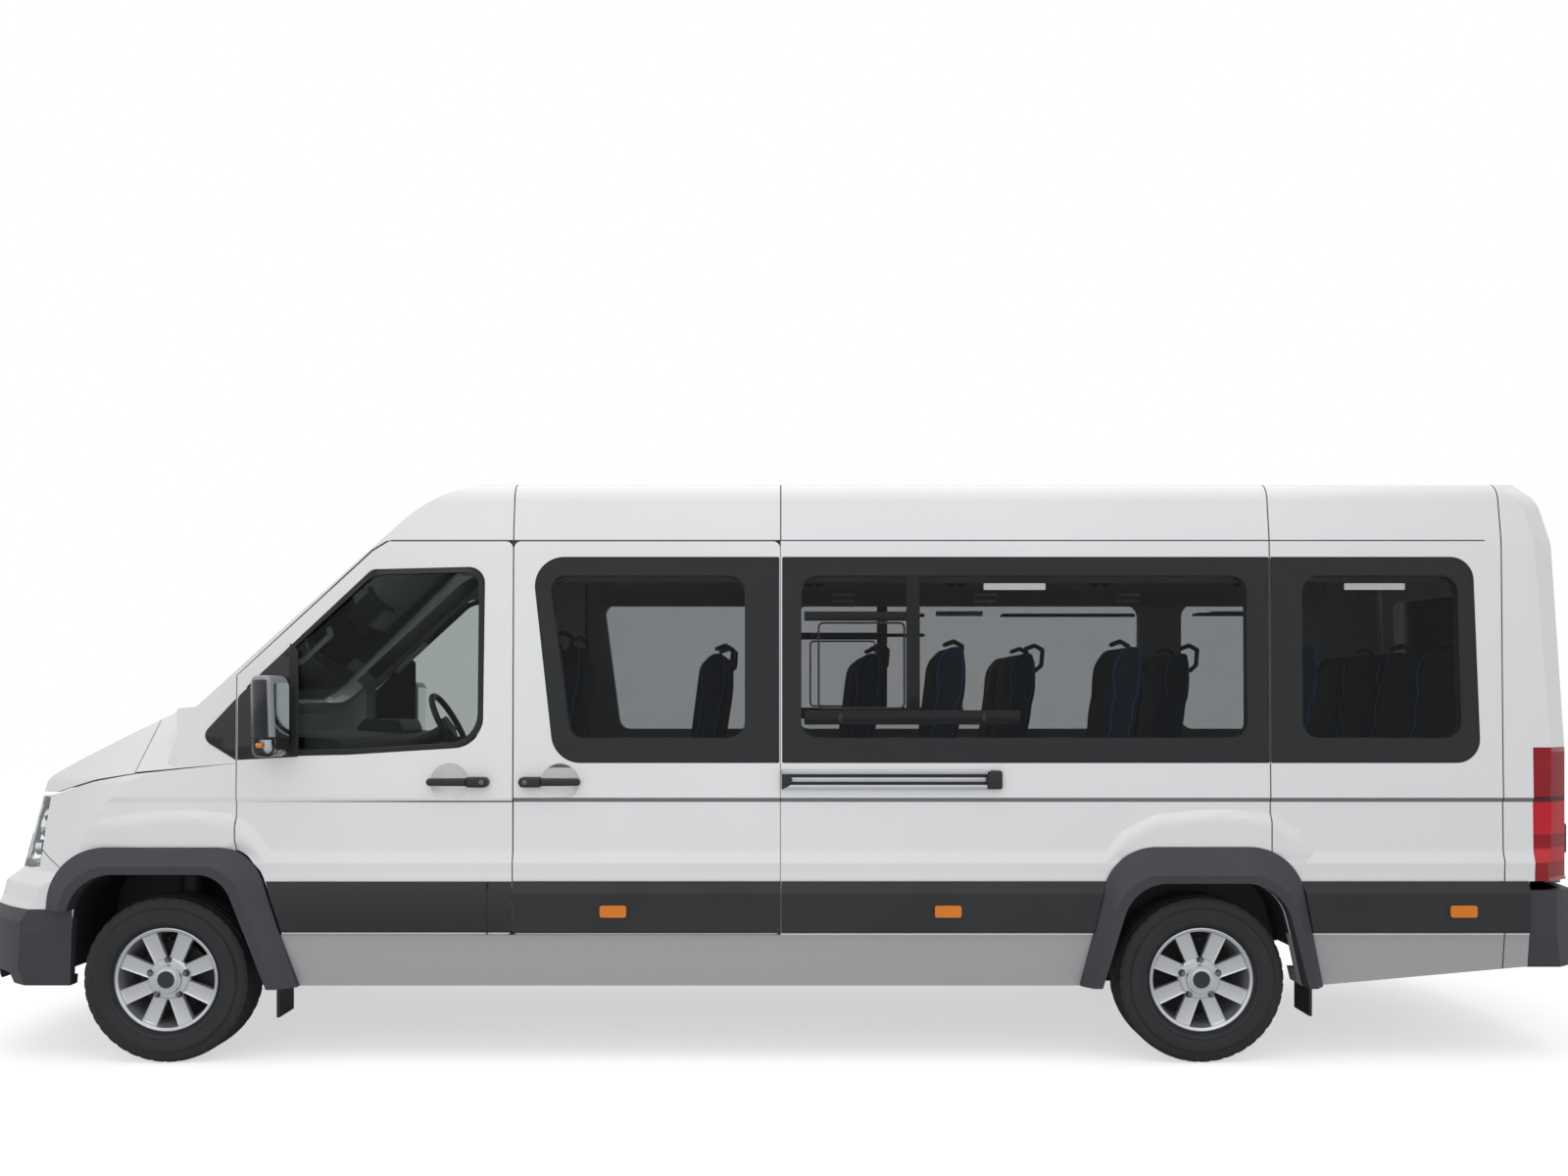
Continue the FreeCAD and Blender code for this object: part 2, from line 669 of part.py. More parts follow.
def front_fascia():
    """Painted panel under the grille and headlamps."""
    region = side_prism([
        (FRONT_AXLE_X + 386, BUMPER_TOP_Z + 1, 0),
        (FRONT_AXLE_X + 410, 798, 0),
        (NOSE_X - 300, 892, 0),
        (NOSE_X - 290, FASCIA_TOP_Z, 0),
        (NOSE_X + 100, FASCIA_TOP_Z, 0),
        (NOSE_X + 100, BUMPER_TOP_Z + 1, 0),
    ], -FAR, FAR)
    lamps = pair(lamp_region())
    wells = pair(arch_prism(True, 500, FAR))
    return largest(cut(skin(0, SKIN, region), *lamps, *wells, *pair(wing_region())))


def front_bumper():
    region = box(FRONT_AXLE_X + 330, NOSE_X + 100, -FAR, FAR, 290, BUMPER_TOP_Z)
    bumper = cut(skin(0, SKIN, region), *pair(arch_prism(True, 500, FAR)), *pair(wing_region()))
    intake = front_prism([(-430, 420, 30), (-400, 560, 30), (400, 560, 30), (430, 420, 30)],
                         NOSE_X - 300, NOSE_X + 100)
    reach = HALF - BUMPER_RETURN
    underside = box(FRONT_AXLE_X, NOSE_X - BUMPER_RETURN - 15, -reach, reach, 0, SILL_Z + SKIN + 5)
    return largest(cut(bumper, intake, underside))


def rear_bumper():
    region = box(TAIL_X - 50, TAIL_X + 314, -FAR, FAR, 408, BAND_TOP_Z - 40)
    bumper = skin(0, SKIN, region)
    top = FLOOR_Z - FLOOR_THICK + SEAL_GAP
    step = box(TAIL_X + 12, TAIL_X + 180, -REAR_DOOR_HALF, REAR_DOOR_HALF, top, top + 30)
    return largest(fused([bumper, envelope(20).common(step)]))


def tail_lamps():
    region = box(TAIL_X - 50, TAIL_X + TAIL_LAMP_REACH - SEAL_GAP, REAR_DOOR_HALF + 10, FAR,
                 BAND_TOP_Z + SEAL_GAP, TAIL_LAMP_TOP_Z - SEAL_GAP)
    return pair(largest(skin(0, WALL - 2, region)))


# ---- doors ----
SLIDE_HANDLE_X = CAB_REAR_X - 160.0
CAB_HANDLE_X = CAB_REAR_X + 229.0
HANDLE_Z = 1196.0
HANDLE_LENGTH = 262.0
CUP_RADIUS = 110.0
CUP_OUT = 58.0            # middle of the finger recess's sphere, out from the body


def handle_cup(x):
    """Finger recess behind a door handle."""
    return Part.makeSphere(CUP_RADIUS, V(x, HALF + CUP_OUT, HANDLE_Z))


def door_handle(x):
    """Grab handle on two feet over the finger recess."""
    face = HALF - 14
    half = HANDLE_LENGTH / 2
    bar = side_prism([
        (x - half, HANDLE_Z - 24, 22), (x - half, HANDLE_Z + 24, 22),
        (x + half, HANDLE_Z + 24, 22), (x + half, HANDLE_Z - 24, 22),
    ], face + 22, face + 40)
    feet = []
    for side in (-1, 1):
        centre = x + side * (half - 34)
        foot = box(centre - 24, centre + 24, face - 40, face + 24, HANDLE_Z - 16, HANDLE_Z + 16)
        feet.append(foot.cut(envelope(-SEAL_GAP)))
    return largest(fused([bar] + feet))


def cab_door(left):
    outline = cab_door_outline(PANEL_GAP / 2)
    door = skin(0, WALL, side_prism(outline, 600, FAR))
    window = side_prism(cab_window_outline(), 600, FAR)
    arch = side_prism(trim_outline(True, RUN_GAP), 600, FAR)
    door = largest(cut(door, window, arch, handle_cup(CAB_HANDLE_X + 40)))
    return door if left else mirrored(door)


def cab_glass(left):
    outline = cab_window_outline(-SEAL_GAP)
    pane = largest(skin(14, 14 + GLASS, side_prism(outline, 600, FAR)))
    return pane if left else mirrored(pane)


def cab_handle(left):
    handle = door_handle(CAB_HANDLE_X)
    return handle if left else mirrored(handle)


MIRROR_X = FRONT_AXLE_X - 490.0
MIRROR_FACE_Y = HALF + 38


def mirror_unit(left):
    """Door mirror: housing on a short arm at the corner pane."""
    housing = front_prism([
        (HALF + 45, 1308, 40), (HALF + 45, 1644, 45), (HALF + 250, 1644, 60),
        (HALF + 285, 1400, 60), (HALF + 235, 1308, 50),
    ], MIRROR_X - 63, MIRROR_X + 63)
    taper = plan_prism([
        (MIRROR_X - 64, HALF + 40, 0), (MIRROR_X - 64, HALF + 290, 0),
        (MIRROR_X - 20, HALF + 290, 20), (MIRROR_X + 64, HALF + 180, 60),
        (MIRROR_X + 64, HALF + 40, 20),
    ], 1200, 1700)
    housing = housing.common(taper)
    arm = box(MIRROR_X + 0, MIRROR_X + 60, HALF - 60, HALF + 60, 1345, 1385)
    foot = box(MIRROR_X - 20, MIRROR_X + 130, HALF - 70, HALF - 10, 1318, 1440)
    foot = foot.cut(envelope(14 - SEAL_GAP))
    foot = foot.common(side_prism(cab_window_outline(-2), 600, FAR))
    arm = arm.cut(envelope(14 - SEAL_GAP))
    unit = largest(fused([housing, arm, foot]))
    return unit if left else mirrored(unit)


def rear_door(left):
    outline = rear_door_opening(PANEL_GAP / 2, LEAF_GAP / 2)
    region = front_prism(outline, TAIL_X - 100, REAR_DOOR_X)
    leaf = skin(0, WALL, region)
    leaf = leaf.cut(front_prism(rear_window_outline(), TAIL_X - 100, REAR_DOOR_X))
    leaf = largest(leaf)
    return leaf if left else mirrored(leaf)


def rear_glass(left):
    outline = rear_window_outline(-SEAL_GAP)
    pane = largest(skin(4, 4 + GLASS, front_prism(outline, TAIL_X - 100, REAR_DOOR_X)))
    return pane if left else mirrored(pane)


def bonnet():
    region = side_prism(bonnet_outline(), -HALF + 6, HALF - 6)
    lid = skin(0, SKIN - 10, region)
    return largest(lid)


def windscreen():
    grown = [(y * 0.9995, z, radius) for y, z, radius in screen_opening()]
    return largest(skin(6, 6 + GLASS + 1, front_prism(grown, FRONT_AXLE_X - 1300, NOSE_X)))


def wipers():
    """Two wiper arms parked along the foot of the windscreen."""
    found = []
    for pivot_y, tip_y in ((-180, -780), (400, -120)):
        middle_y = (pivot_y + tip_y) / 2
        arm = []
        for y0, y1, z0, z1, radius in (
            (pivot_y, middle_y, 1545, 1575, 9),
            (middle_y, tip_y, 1575, 1598, 6),
        ):
            arm.append(rod((screen_x(y0, z0) + 24, y0, z0), (screen_x(y1, z1) + 16, y1, z1), radius))
        pivot_x = screen_x(pivot_y, 1524)
        arm.append(rod((pivot_x, pivot_y, 1500), (pivot_x, pivot_y, 1553), 11))
        found.append(fused(arm).cut(envelope(-SEAL_GAP)))
    return [largest(item) for item in found]


def screen_x(y, z):
    """Windscreen surface ahead of a point across and up."""
    centre_x = SCREEN_FOOT_X - (z - SCREEN_FOOT_Z) / SCREEN_SLOPE
    radius = centre_x - NOSE_AXIS_X
    return NOSE_AXIS_X + math.sqrt(radius * radius - y * y)


# ---- trim outside ----
def arch_trims():
    """Flared mouldings round the four wheel openings."""
    trims = []
    for front in (True, False):
        base = side_wire(trim_outline(front), HALF - WALL)
        rim = side_wire(trim_outline(front), HALF + 6)
        lip = side_wire(arch_outline(front, TRIM_LIP), HALF + ARCH_FLARE)
        flare = Part.makeLoft([rim, lip], True, True)
        root = Part.Face(base).extrude(V(0, WALL + 6, 0))
        trim = root.fuse(flare).cut(arch_prism(front, 500, FAR))
        low = SILL_Z if front else SILL_Z + 4
        trim = trim.common(box(TAIL_X, NOSE_X, 0, FAR, low, HEIGHT))
        if front:
            trim = trim.cut(box(FRONT_AXLE_X, NOSE_X, 0, FAR, 0, BUMPER_TOP_Z + SEAL_GAP))
        trim = trim.cut(envelope(-SEAL_GAP))
        trims += pair(largest(trim))
    return trims


def side_mouldings():
    """Dark rubbing band along both sides."""
    outline = [
        (HALF - 30, BAND_LOW_Z, 0), (HALF + 14, BAND_LOW_Z + 12, 8),
        (HALF + 16, BAND_TOP_Z - 50, 0), (HALF + 2, BAND_TOP_Z, 0), (HALF - 30, BAND_TOP_Z, 0),
    ]
    gap = PANEL_GAP / 2
    spans = [
        (TAIL_X + 320, REAR_AXLE_X - 300), (REAR_AXLE_X + 300, SLIDE_REAR_X - gap),
        (SLIDE_REAR_X + gap, CAB_REAR_X - gap),
    ]
    clearing = side_prism(trim_outline(False, 1), 500, FAR)
    strips = []
    for x0, x1 in spans:
        strip = front_prism(outline, x0, x1).cut(envelope(-SEAL_GAP)).cut(clearing)
        strips += pair(largest(strip))
    return strips


def mudflaps():
    """Flaps hung from the sill behind each wheel: station behind the axle, lower edge."""
    flaps = []
    for axle_x, behind, low in ((FRONT_AXLE_X, 470, 190), (REAR_AXLE_X, 470, 196)):
        x = axle_x - behind
        flaps += pair(box(x - 6, x + 6, 770, HALF - 35, low, SILL_Z - SEAL_GAP))
    return flaps


def marker_lamps():
    """Amber side markers: one column, distance ahead of the rear axle."""
    lamps = []
    for ahead in (2496, 1081, -1096):
        x = REAR_AXLE_X + ahead
        lamp = side_prism([(x - 56, 625, 10), (x - 56, 675, 10), (x + 56, 675, 10),
                           (x + 56, 625, 10)], HALF + 16 + SEAL_GAP, HALF + 26)
        lamps += pair(lamp)
    return lamps


def sliding_door_rail():
    """Channel behind the sliding door that its rear roller runs in."""
    x1 = SLIDE_REAR_X - PANEL_GAP / 2 - SEAL_GAP
    x0 = SLIDE_REAR_X - 939
    face = HALF - 40
    rail = box(x0, x1, face, HALF + 10, 1163, 1248)
    groove = box(x0 + 66, x1 + 5, HALF - 8, HALF + 30, 1188, 1226)
    return largest(rail.cut(groove).cut(envelope(-SEAL_GAP)))


# ---- floor and underbody ----
def rear_housing(grow):
    """Box over a rear wheel, seen inside the saloon."""
    block = arch_prism(False, REAR_WELL_Y - grow, HALF, 16 + grow)
    return block.common(envelope(WALL + SEAL_GAP))


def floor_pan():
    plate = envelope(WALL + SEAL_GAP).common(
        box(REAR_DOOR_X - 130, FRONT_AXLE_X - 150, -FAR, FAR, FLOOR_Z - FLOOR_THICK, FLOOR_Z))
    plate = envelope(WALL + 3).common(plate)
    stepwell = box(SLIDE_REAR_X + 120, CAB_REAR_X - 120, HALF - 330, FAR, 0, FLOOR_Z + 5)
    step = envelope(WALL + 63).common(
        box(SLIDE_REAR_X + 100, CAB_REAR_X - 100, HALF - 350, FAR, 420, FLOOR_Z - FLOOR_THICK + 5))
    step = step.cut(envelope(WALL + 63).common(
        box(SLIDE_REAR_X + 120, CAB_REAR_X - 120, HALF - 330, FAR, 450, FLOOR_Z + 10)))
    over_axle = box(TAIL_X, NOSE_X, 0, FAR, AXLE_Z + 136, HEIGHT)
    cover = rear_housing(0).common(over_axle)
    hole = arch_prism(False, REAR_WELL_Y + 14, FAR, 2)
    pillar_depth = WALL + RUN_GAP + PILLAR + SEAL_GAP
    pillars = [skin(0, pillar_depth, side_space(CAB_REAR_X - 56, CAB_REAR_X + 56, 0, HEIGHT)),
               skin(0, pillar_depth, side_space(SLIDE_REAR_X - 61, SLIDE_REAR_X + 21, 0, HEIGHT))]
    pillars += [mirrored(pillars[0])]
    housings = [cover, mirrored(cover)]
    holes = [hole, mirrored(hole)]
    front_wells = pair(arch_prism(True, FRONT_WELL_Y - 12, FAR, 14))
    plate = cut(plate, stepwell, *pillars)
    body = fused([plate, step] + housings)
    return largest(cut(body, *holes, *front_wells))


def wheel_liners():
    """Liners inside the front arches."""
    outer = arch_prism(True, FRONT_WELL_Y - 8, HALF - 44, 12)
    inner = arch_prism(True, FRONT_WELL_Y, FAR, 4)
    liner = outer.cut(inner).common(box(TAIL_X, NOSE_X, 0, FAR, 400, HEIGHT))
    window = side_prism([(FRONT_AXLE_X - 190, 300, 40), (FRONT_AXLE_X - 190, 560, 40),
                         (FRONT_AXLE_X + 190, 560, 40), (FRONT_AXLE_X + 190, 300, 40)], 400, 620)
    liner = largest(liner.cut(window).common(envelope(SKIN + SEAL_GAP)))
    return pair(liner)


def chassis_frame():
    """Two side rails under the floor, cross-members, outriggers, jack pads and tow eyes."""
    top = FLOOR_Z - FLOOR_THICK
    pieces = []
    for y in (-RAIL_Y, RAIL_Y):
        pieces.append(box(TAIL_X + 120, FRONT_AXLE_X + 600, y - RAIL_HALF, y + RAIL_HALF,
                          top - RAIL_DEPTH, top))
    between = RAIL_Y - RAIL_HALF - SEAL_GAP
    member_stations = (TAIL_X + 200, REAR_AXLE_X - 620, REAR_AXLE_X + 830, SLIDE_REAR_X - 150,
                       FRONT_AXLE_X - 900, FRONT_AXLE_X + 560)
    for x in member_stations:
        pieces.append(box(x - RAIL_HALF, x + RAIL_HALF, -between, between, top - 120, top - 30))
    beside = RAIL_Y + RAIL_HALF + SEAL_GAP
    reach = HALF - WALL - 100
    for x in (REAR_AXLE_X + 830, SLIDE_REAR_X - 150, FRONT_AXLE_X - 900):
        pieces += pair(box(x - 30, x + 30, beside, reach, top - 90, top))
    for x in JACK_STATIONS:
        pieces += pair(jack_pad(x))
    return pieces + [tow_eye(True), tow_eye(False)]


TOW_EYE_RADIUS = 18.0
TOW_EYE_THICK = 20.0
TOW_EYE_HALF = 36.0       # half the eye's width
TOW_EYE_Y = -380.0
FRONT_EYE_Z = 470.0
REAR_EYE_Z = 372.0
JACK_STATIONS = (FRONT_AXLE_X - 796.0, REAR_AXLE_X + 754.0)
JACK_PAD = 12.0           # pad's depth under the side rail


def tow_eye(front):
    """Flat eye with an upright bore, on a bracket under the end of the frame."""
    x = FRONT_AXLE_X + 750 if front else TAIL_X + 150
    z = FRONT_EYE_Z if front else REAR_EYE_Z
    side = 1 if front else -1
    z0 = z - TOW_EYE_THICK / 2
    z1 = z + TOW_EYE_THICK / 2
    tip = x + (TOW_EYE_HALF + 2) * side
    root = x - 150 * side
    eye_y0 = TOW_EYE_Y - TOW_EYE_HALF
    eye_y1 = TOW_EYE_Y + TOW_EYE_HALF
    plate = plan_prism([(root, eye_y0, 0), (tip, eye_y0, 34), (tip, eye_y1, 34), (root, eye_y1, 0)],
                       z0, z1)
    hanger_x0, hanger_x1 = sorted((root, root + 60 * side))
    top = FLOOR_Z - FLOOR_THICK - RAIL_DEPTH / 2
    rail_side = RAIL_HALF + SEAL_GAP - RAIL_Y
    hanger = box(hanger_x0, hanger_x1, rail_side, eye_y1, z0, top)
    bore = rod((x, TOW_EYE_Y, z0 - 5), (x, TOW_EYE_Y, z1 + 5), TOW_EYE_RADIUS)
    return fused([plate, hanger]).cut(bore)


def jack_pad(x):
    """Flat pad under a side rail, for a lifting jack."""
    rail_low = FLOOR_Z - FLOOR_THICK - RAIL_DEPTH
    return box(x - 45, x + 45, RAIL_Y - 30, RAIL_Y + 30, rail_low - JACK_PAD, rail_low - SEAL_GAP)


def engine_block():
    """Engine and gearbox mass, hung between the side rails on two brackets."""
    block = box(FRONT_AXLE_X + 40, FRONT_AXLE_X + 500, -330, 330, 440, 1010)
    reach = RAIL_Y - RAIL_HALF - SEAL_GAP
    bracket = box(FRONT_AXLE_X + 220, FRONT_AXLE_X + 300, -reach, reach, 560, 620)
    return fused([block, bracket])


def front_subframe():
    """Cross-member with the two lower arms of the front suspension."""
    rail_low = FLOOR_Z - FLOOR_THICK - RAIL_DEPTH
    beam = box(FRONT_AXLE_X - 110, FRONT_AXLE_X + 20, -500, 500, 300, 380)
    pads = pair(box(FRONT_AXLE_X - 90, FRONT_AXLE_X - 10, 420, 480, 380, rail_low - SEAL_GAP))
    arm = plan_prism([
        (FRONT_AXLE_X - 130, 490, 20), (FRONT_AXLE_X + 110, 490, 20),
        (FRONT_AXLE_X + 22, KINGPIN_Y - 14, 0), (FRONT_AXLE_X - 22, KINGPIN_Y - 14, 0),
    ], ARM_TOP_Z - 22, ARM_TOP_Z)
    posts = pair(box(FRONT_AXLE_X - 100, FRONT_AXLE_X + 10, 480, 530, 250, 310))
    return fused([beam] + pads + pair(arm) + posts)


def rear_axle():
    """Live axle beam with its final-drive housing."""
    beam = rod((REAR_AXLE_X, -690, AXLE_Z), (REAR_AXLE_X, 690, AXLE_Z), 48)
    housing = rod((REAR_AXLE_X - 95, 0, AXLE_Z), (REAR_AXLE_X + 80, 0, AXLE_Z), 145)
    nose = rod((REAR_AXLE_X, 0, AXLE_Z), (REAR_AXLE_X + 270, 0, AXLE_Z), 58)
    drums = pair(rod((REAR_AXLE_X, 690, AXLE_Z), (REAR_AXLE_X, 760, AXLE_Z), 120))
    stubs = pair(rod((REAR_AXLE_X, 750, AXLE_Z), (REAR_AXLE_X, HUB_END_Y, AXLE_Z), STUB_RADIUS))
    return fused([beam, housing, nose] + drums + stubs)


def rear_springs():
    """Leaf springs over the axle, shackled to the side rails."""
    springs = []
    rise = 62.0
    seat_z = AXLE_Z + 48 + SEAL_GAP
    end_z = seat_z + rise + 40
    spring_y = 560.0
    for y in (-spring_y, spring_y):
        inner = RAIL_Y + RAIL_HALF + SEAL_GAP
        leaf = side_prism([
            (REAR_AXLE_X - 700, end_z, 6), (REAR_AXLE_X - 120, seat_z, 0),
            (REAR_AXLE_X + 120, seat_z, 0), (REAR_AXLE_X + 700, end_z, 6),
            (REAR_AXLE_X + 700, end_z + 16, 6), (REAR_AXLE_X + 120, seat_z + 42, 0),
            (REAR_AXLE_X - 120, seat_z + 42, 0), (REAR_AXLE_X - 700, end_z + 16, 6),
        ], y - 38, y + 38)
        brackets = []
        for dx in (-690, 690):
            x = REAR_AXLE_X + dx
            y0, y1 = sorted((math.copysign(inner, y), y))
            brackets.append(box(x - 26, x + 26, y0, y1, end_z - 16, FLOOR_Z - FLOOR_THICK - SEAL_GAP))
        springs.append(fused([leaf] + brackets))
    return springs


def propshaft():
    flange_x = REAR_AXLE_X + 270 + SEAL_GAP
    start = (flange_x + 16, 0, AXLE_Z)
    middle = (REAR_AXLE_X + 1900, 0, 450)
    end = (FRONT_AXLE_X + 40 - 3, 0, 490)
    hanger = box(middle[0] - 30, middle[0] + 30, -40, 40, 450, FLOOR_Z - FLOOR_THICK - SEAL_GAP)
    flange = rod((flange_x, 0, AXLE_Z), (flange_x + 22, 0, AXLE_Z), 60)
    return fused([rod(start, middle, 38), rod(middle, end, 38), hanger, flange])


def exhaust_pipe():
    y = -250.0
    z = 430.0
    pipe = rod((FRONT_AXLE_X - 160, y, z), (REAR_AXLE_X + 620, y, z), 32)
    silencer = rod((FRONT_AXLE_X - 1500, y, z), (FRONT_AXLE_X - 900, y, z), 92)
    hangers = []
    for x in (FRONT_AXLE_X - 700, FRONT_AXLE_X - 1200, REAR_AXLE_X + 700):
        hangers.append(box(x - 10, x + 10, y - 10, y + 10, z, FLOOR_Z - FLOOR_THICK - SEAL_GAP))
    return fused([pipe, silencer] + hangers)


def fuel_tank():
    inner = RAIL_Y + RAIL_HALF + RUN_GAP
    tank = box(REAR_AXLE_X + 760, REAR_AXLE_X + 1760, -HALF + 190, -inner, 330, 560)
    tank = tank.makeFillet(40, [e for e in tank.Edges if abs(e.tangentAt(e.FirstParameter).x) > 0.9])
    straps = []
    for x in (REAR_AXLE_X + 960, REAR_AXLE_X + 1560):
        straps.append(box(x - 20, x + 20, -inner - 120, -inner - 60, 540,
                          FLOOR_Z - FLOOR_THICK - SEAL_GAP))
    return fused([tank] + straps)


# ---- wheels ----
def wheel_centres():
    """Name, axle station, side."""
    return [
        ("front_left", FRONT_AXLE_X, 1), ("front_right", FRONT_AXLE_X, -1),
        ("rear_left", REAR_AXLE_X, 1), ("rear_right", REAR_AXLE_X, -1),
    ]


def turned(profile, axle_x, side):
    """Profile (radius, y from the tyre's centre plane, arc radius) turned about the axle."""
    corners = [(AXLE_Z + r, TYRE_Y + y, radius) for r, y, radius in profile]
    wire = rounded_wire(corners, lambda p: V(axle_x, p.y, p.x))
    solid = Part.Face(wire).revolve(V(axle_x, 0, AXLE_Z), V(0, 1, 0), 360)
    return solid if side > 0 else mirrored(solid)


def tyre(axle_x, side):
    half = TYRE_WIDTH / 2
    bead = half - BEAD_INSET
    seat = RIM_RADIUS - 12
    return turned([
        (seat, -bead, 0), (RIM_RADIUS + 8, -bead, 0), (RIM_RADIUS + 66, -half, 50),
        (TYRE_RADIUS, -half + 16, 34), (TYRE_RADIUS, half - 16, 34),
        (RIM_RADIUS + 66, half, 50), (RIM_RADIUS + 8, bead, 0), (seat, bead, 0),
    ], axle_x, side)


def rim(axle_x, side):
    """Barrel with a spoked disc set toward its outer edge, and the hub."""
    bead = TYRE_WIDTH / 2 - BEAD_INSET + SEAL_GAP
    seat = RIM_RADIUS - 12 - SEAL_GAP
    barrel = turned([
        (RIM_RADIUS, -bead, 0), (seat, -bead, 0), (seat, bead, 0), (RIM_RADIUS, bead, 0),
        (RIM_RADIUS, bead + 8, 3), (RIM_RADIUS - 14, bead + 8, 3), (RIM_RADIUS - 24, bead - 14, 0),
        (RIM_RADIUS - 24, -bead - 8, 0), (RIM_RADIUS, -bead - 8, 0),
    ], axle_x, side)
    disc = turned([
        (STUB_RADIUS + HUB_CLEARANCE, 20, 0), (STUB_RADIUS + HUB_CLEARANCE, 75, 0),
        (62, 82, 8), (90, 66, 10), (RIM_RADIUS - 18, 84, 0), (RIM_RADIUS - 18, 66, 0),
        (90, 40, 0), (62, 20, 0),
    ], axle_x, side)
    y0 = TYRE_Y + 10
    holes = []
    pocket = plan_free_pocket(axle_x, y0)
    for index in range(8):
        hole = pocket.copy()
        hole.rotate(V(axle_x, 0, AXLE_Z), V(0, 1, 0), 45.0 * index)
        holes.append(hole if side > 0 else mirrored(hole))
    cap = Part.makeCylinder(50, 12, V(axle_x, (TYRE_Y + 74) * side, AXLE_Z), V(0, side, 0))
    return largest(fused([barrel, disc, cap]).cut(holes))


def plan_free_pocket(axle_x, y0):
    """Opening between two spokes, under the wheel's top."""
    outline = [
        (axle_x - 16, AXLE_Z + 108, 8), (axle_x - 44, AXLE_Z + 176, 12),
        (axle_x + 44, AXLE_Z + 176, 12), (axle_x + 16, AXLE_Z + 108, 8),
    ]
    return side_prism(outline, y0, y0 + 110)


def knuckle(side):
    """Upright with its stub axle, brake disc, caliper and strut."""
    x = FRONT_AXLE_X
    y = KINGPIN_Y
    upright = box(x - 45, x + 45, y - 70, y - 15, ARM_TOP_Z + 14, AXLE_Z + 115)
    stub = rod((x, y - 40, AXLE_Z), (x, HUB_END_Y, AXLE_Z), STUB_RADIUS)
    disc = rod((x, y + 8, AXLE_Z), (x, y + 30, AXLE_Z), 150)
    carrier = rod((x, y - 40, AXLE_Z), (x, y + 10, AXLE_Z), 70)
    caliper = box(x - 180, x - 80, y - 26, y + 40, AXLE_Z - 50, AXLE_Z + 50)
    hanger = box(x - 100, x - 40, y - 60, y - 20, AXLE_Z - 30, AXLE_Z + 30)
    ball_joint = rod((x, y - 22, ARM_TOP_Z + SEAL_GAP), (x, y - 22, ARM_TOP_Z + 20), 18)
    reach = box(x - 26, x + 26, y - 190, y - 20, AXLE_Z + 80, AXLE_Z + 112)
    damper = rod((x, y - 162, AXLE_Z + 90), (x, y - 162, 790), 26)
    spring = rod((x, y - 162, 580), (x, y - 162, 776), 54)
    body = fused([upright, stub, disc, carrier, caliper, hanger, ball_joint, reach, damper, spring])
    return body if side > 0 else mirrored(body)


# ---- inside ----
def dashboard():
    """Full-width fascia board with the driver's binnacle."""
    outline = [
        (FRONT_AXLE_X - 156, 1330, 30), (FRONT_AXLE_X - 340, 1395, 60),
        (FRONT_AXLE_X - 700, 1372, 60), (FRONT_AXLE_X - 745, 1240, 40),
        (FRONT_AXLE_X - 640, 1010, 60), (FRONT_AXLE_X - 520, 960, 40),
        (FRONT_AXLE_X - 156, 960, 0),
    ]
    board = side_prism(outline, -HALF, HALF).common(envelope(POST_DEPTH + SEAL_GAP))
    console = side_prism([
        (FRONT_AXLE_X - 156, 960, 0), (FRONT_AXLE_X - 600, 960, 0),
        (FRONT_AXLE_X - 560, FLOOR_Z + SEAL_GAP, 0), (FRONT_AXLE_X - 156, FLOOR_Z + SEAL_GAP, 0),
    ], -130, 130)
    hood = side_prism([
        (FRONT_AXLE_X - 420, 1380, 20), (FRONT_AXLE_X - 480, 1445, 30),
        (FRONT_AXLE_X - 660, 1440, 30), (FRONT_AXLE_X - 690, 1365, 20),
    ], STEER_SIDE * STEER_Y - 190, STEER_SIDE * STEER_Y + 190)
    column = rod(steer_point(-34 - SEAL_GAP), steer_point(-230), 34)
    board = fused([board, console, hood, column])
    return largest(board)


def steer_axis():
    rake = math.radians(STEER_RAKE)
    return V(-math.cos(rake), 0, math.sin(rake))


def steer_point(along):
    """Point on the column's axis, counted toward the driver from the rim's plane."""
    centre = V(STEER_X, STEER_SIDE * STEER_Y, STEER_Z)
    return centre + steer_axis() * along


def steering_wheel():
    rim_ring = Part.makeTorus(STEER_WHEEL_RADIUS - STEER_GRIP_RADIUS, STEER_GRIP_RADIUS,
                              steer_point(0), steer_axis())
    hub = Part.makeCylinder(62, 40, steer_point(-34), steer_axis())
    spokes = []
    across = V(0, 1, 0)
    down = steer_axis().cross(across)
    for direction in (across, across * -1, down * -1 if down.z > 0 else down):
        start = steer_point(-14) + direction * 40
        end = steer_point(-8) + direction * (STEER_WHEEL_RADIUS - STEER_GRIP_RADIUS)
        spokes.append(Part.makeCylinder(13, (end - start).Length, start, end - start))
    return fused([rim_ring, hub] + spokes)


SEAT_WIDTH = 430.0
SEAT_BASE_Z = 1060.0
SEAT_LEAN = 60.0          # foot of the back ahead of its top


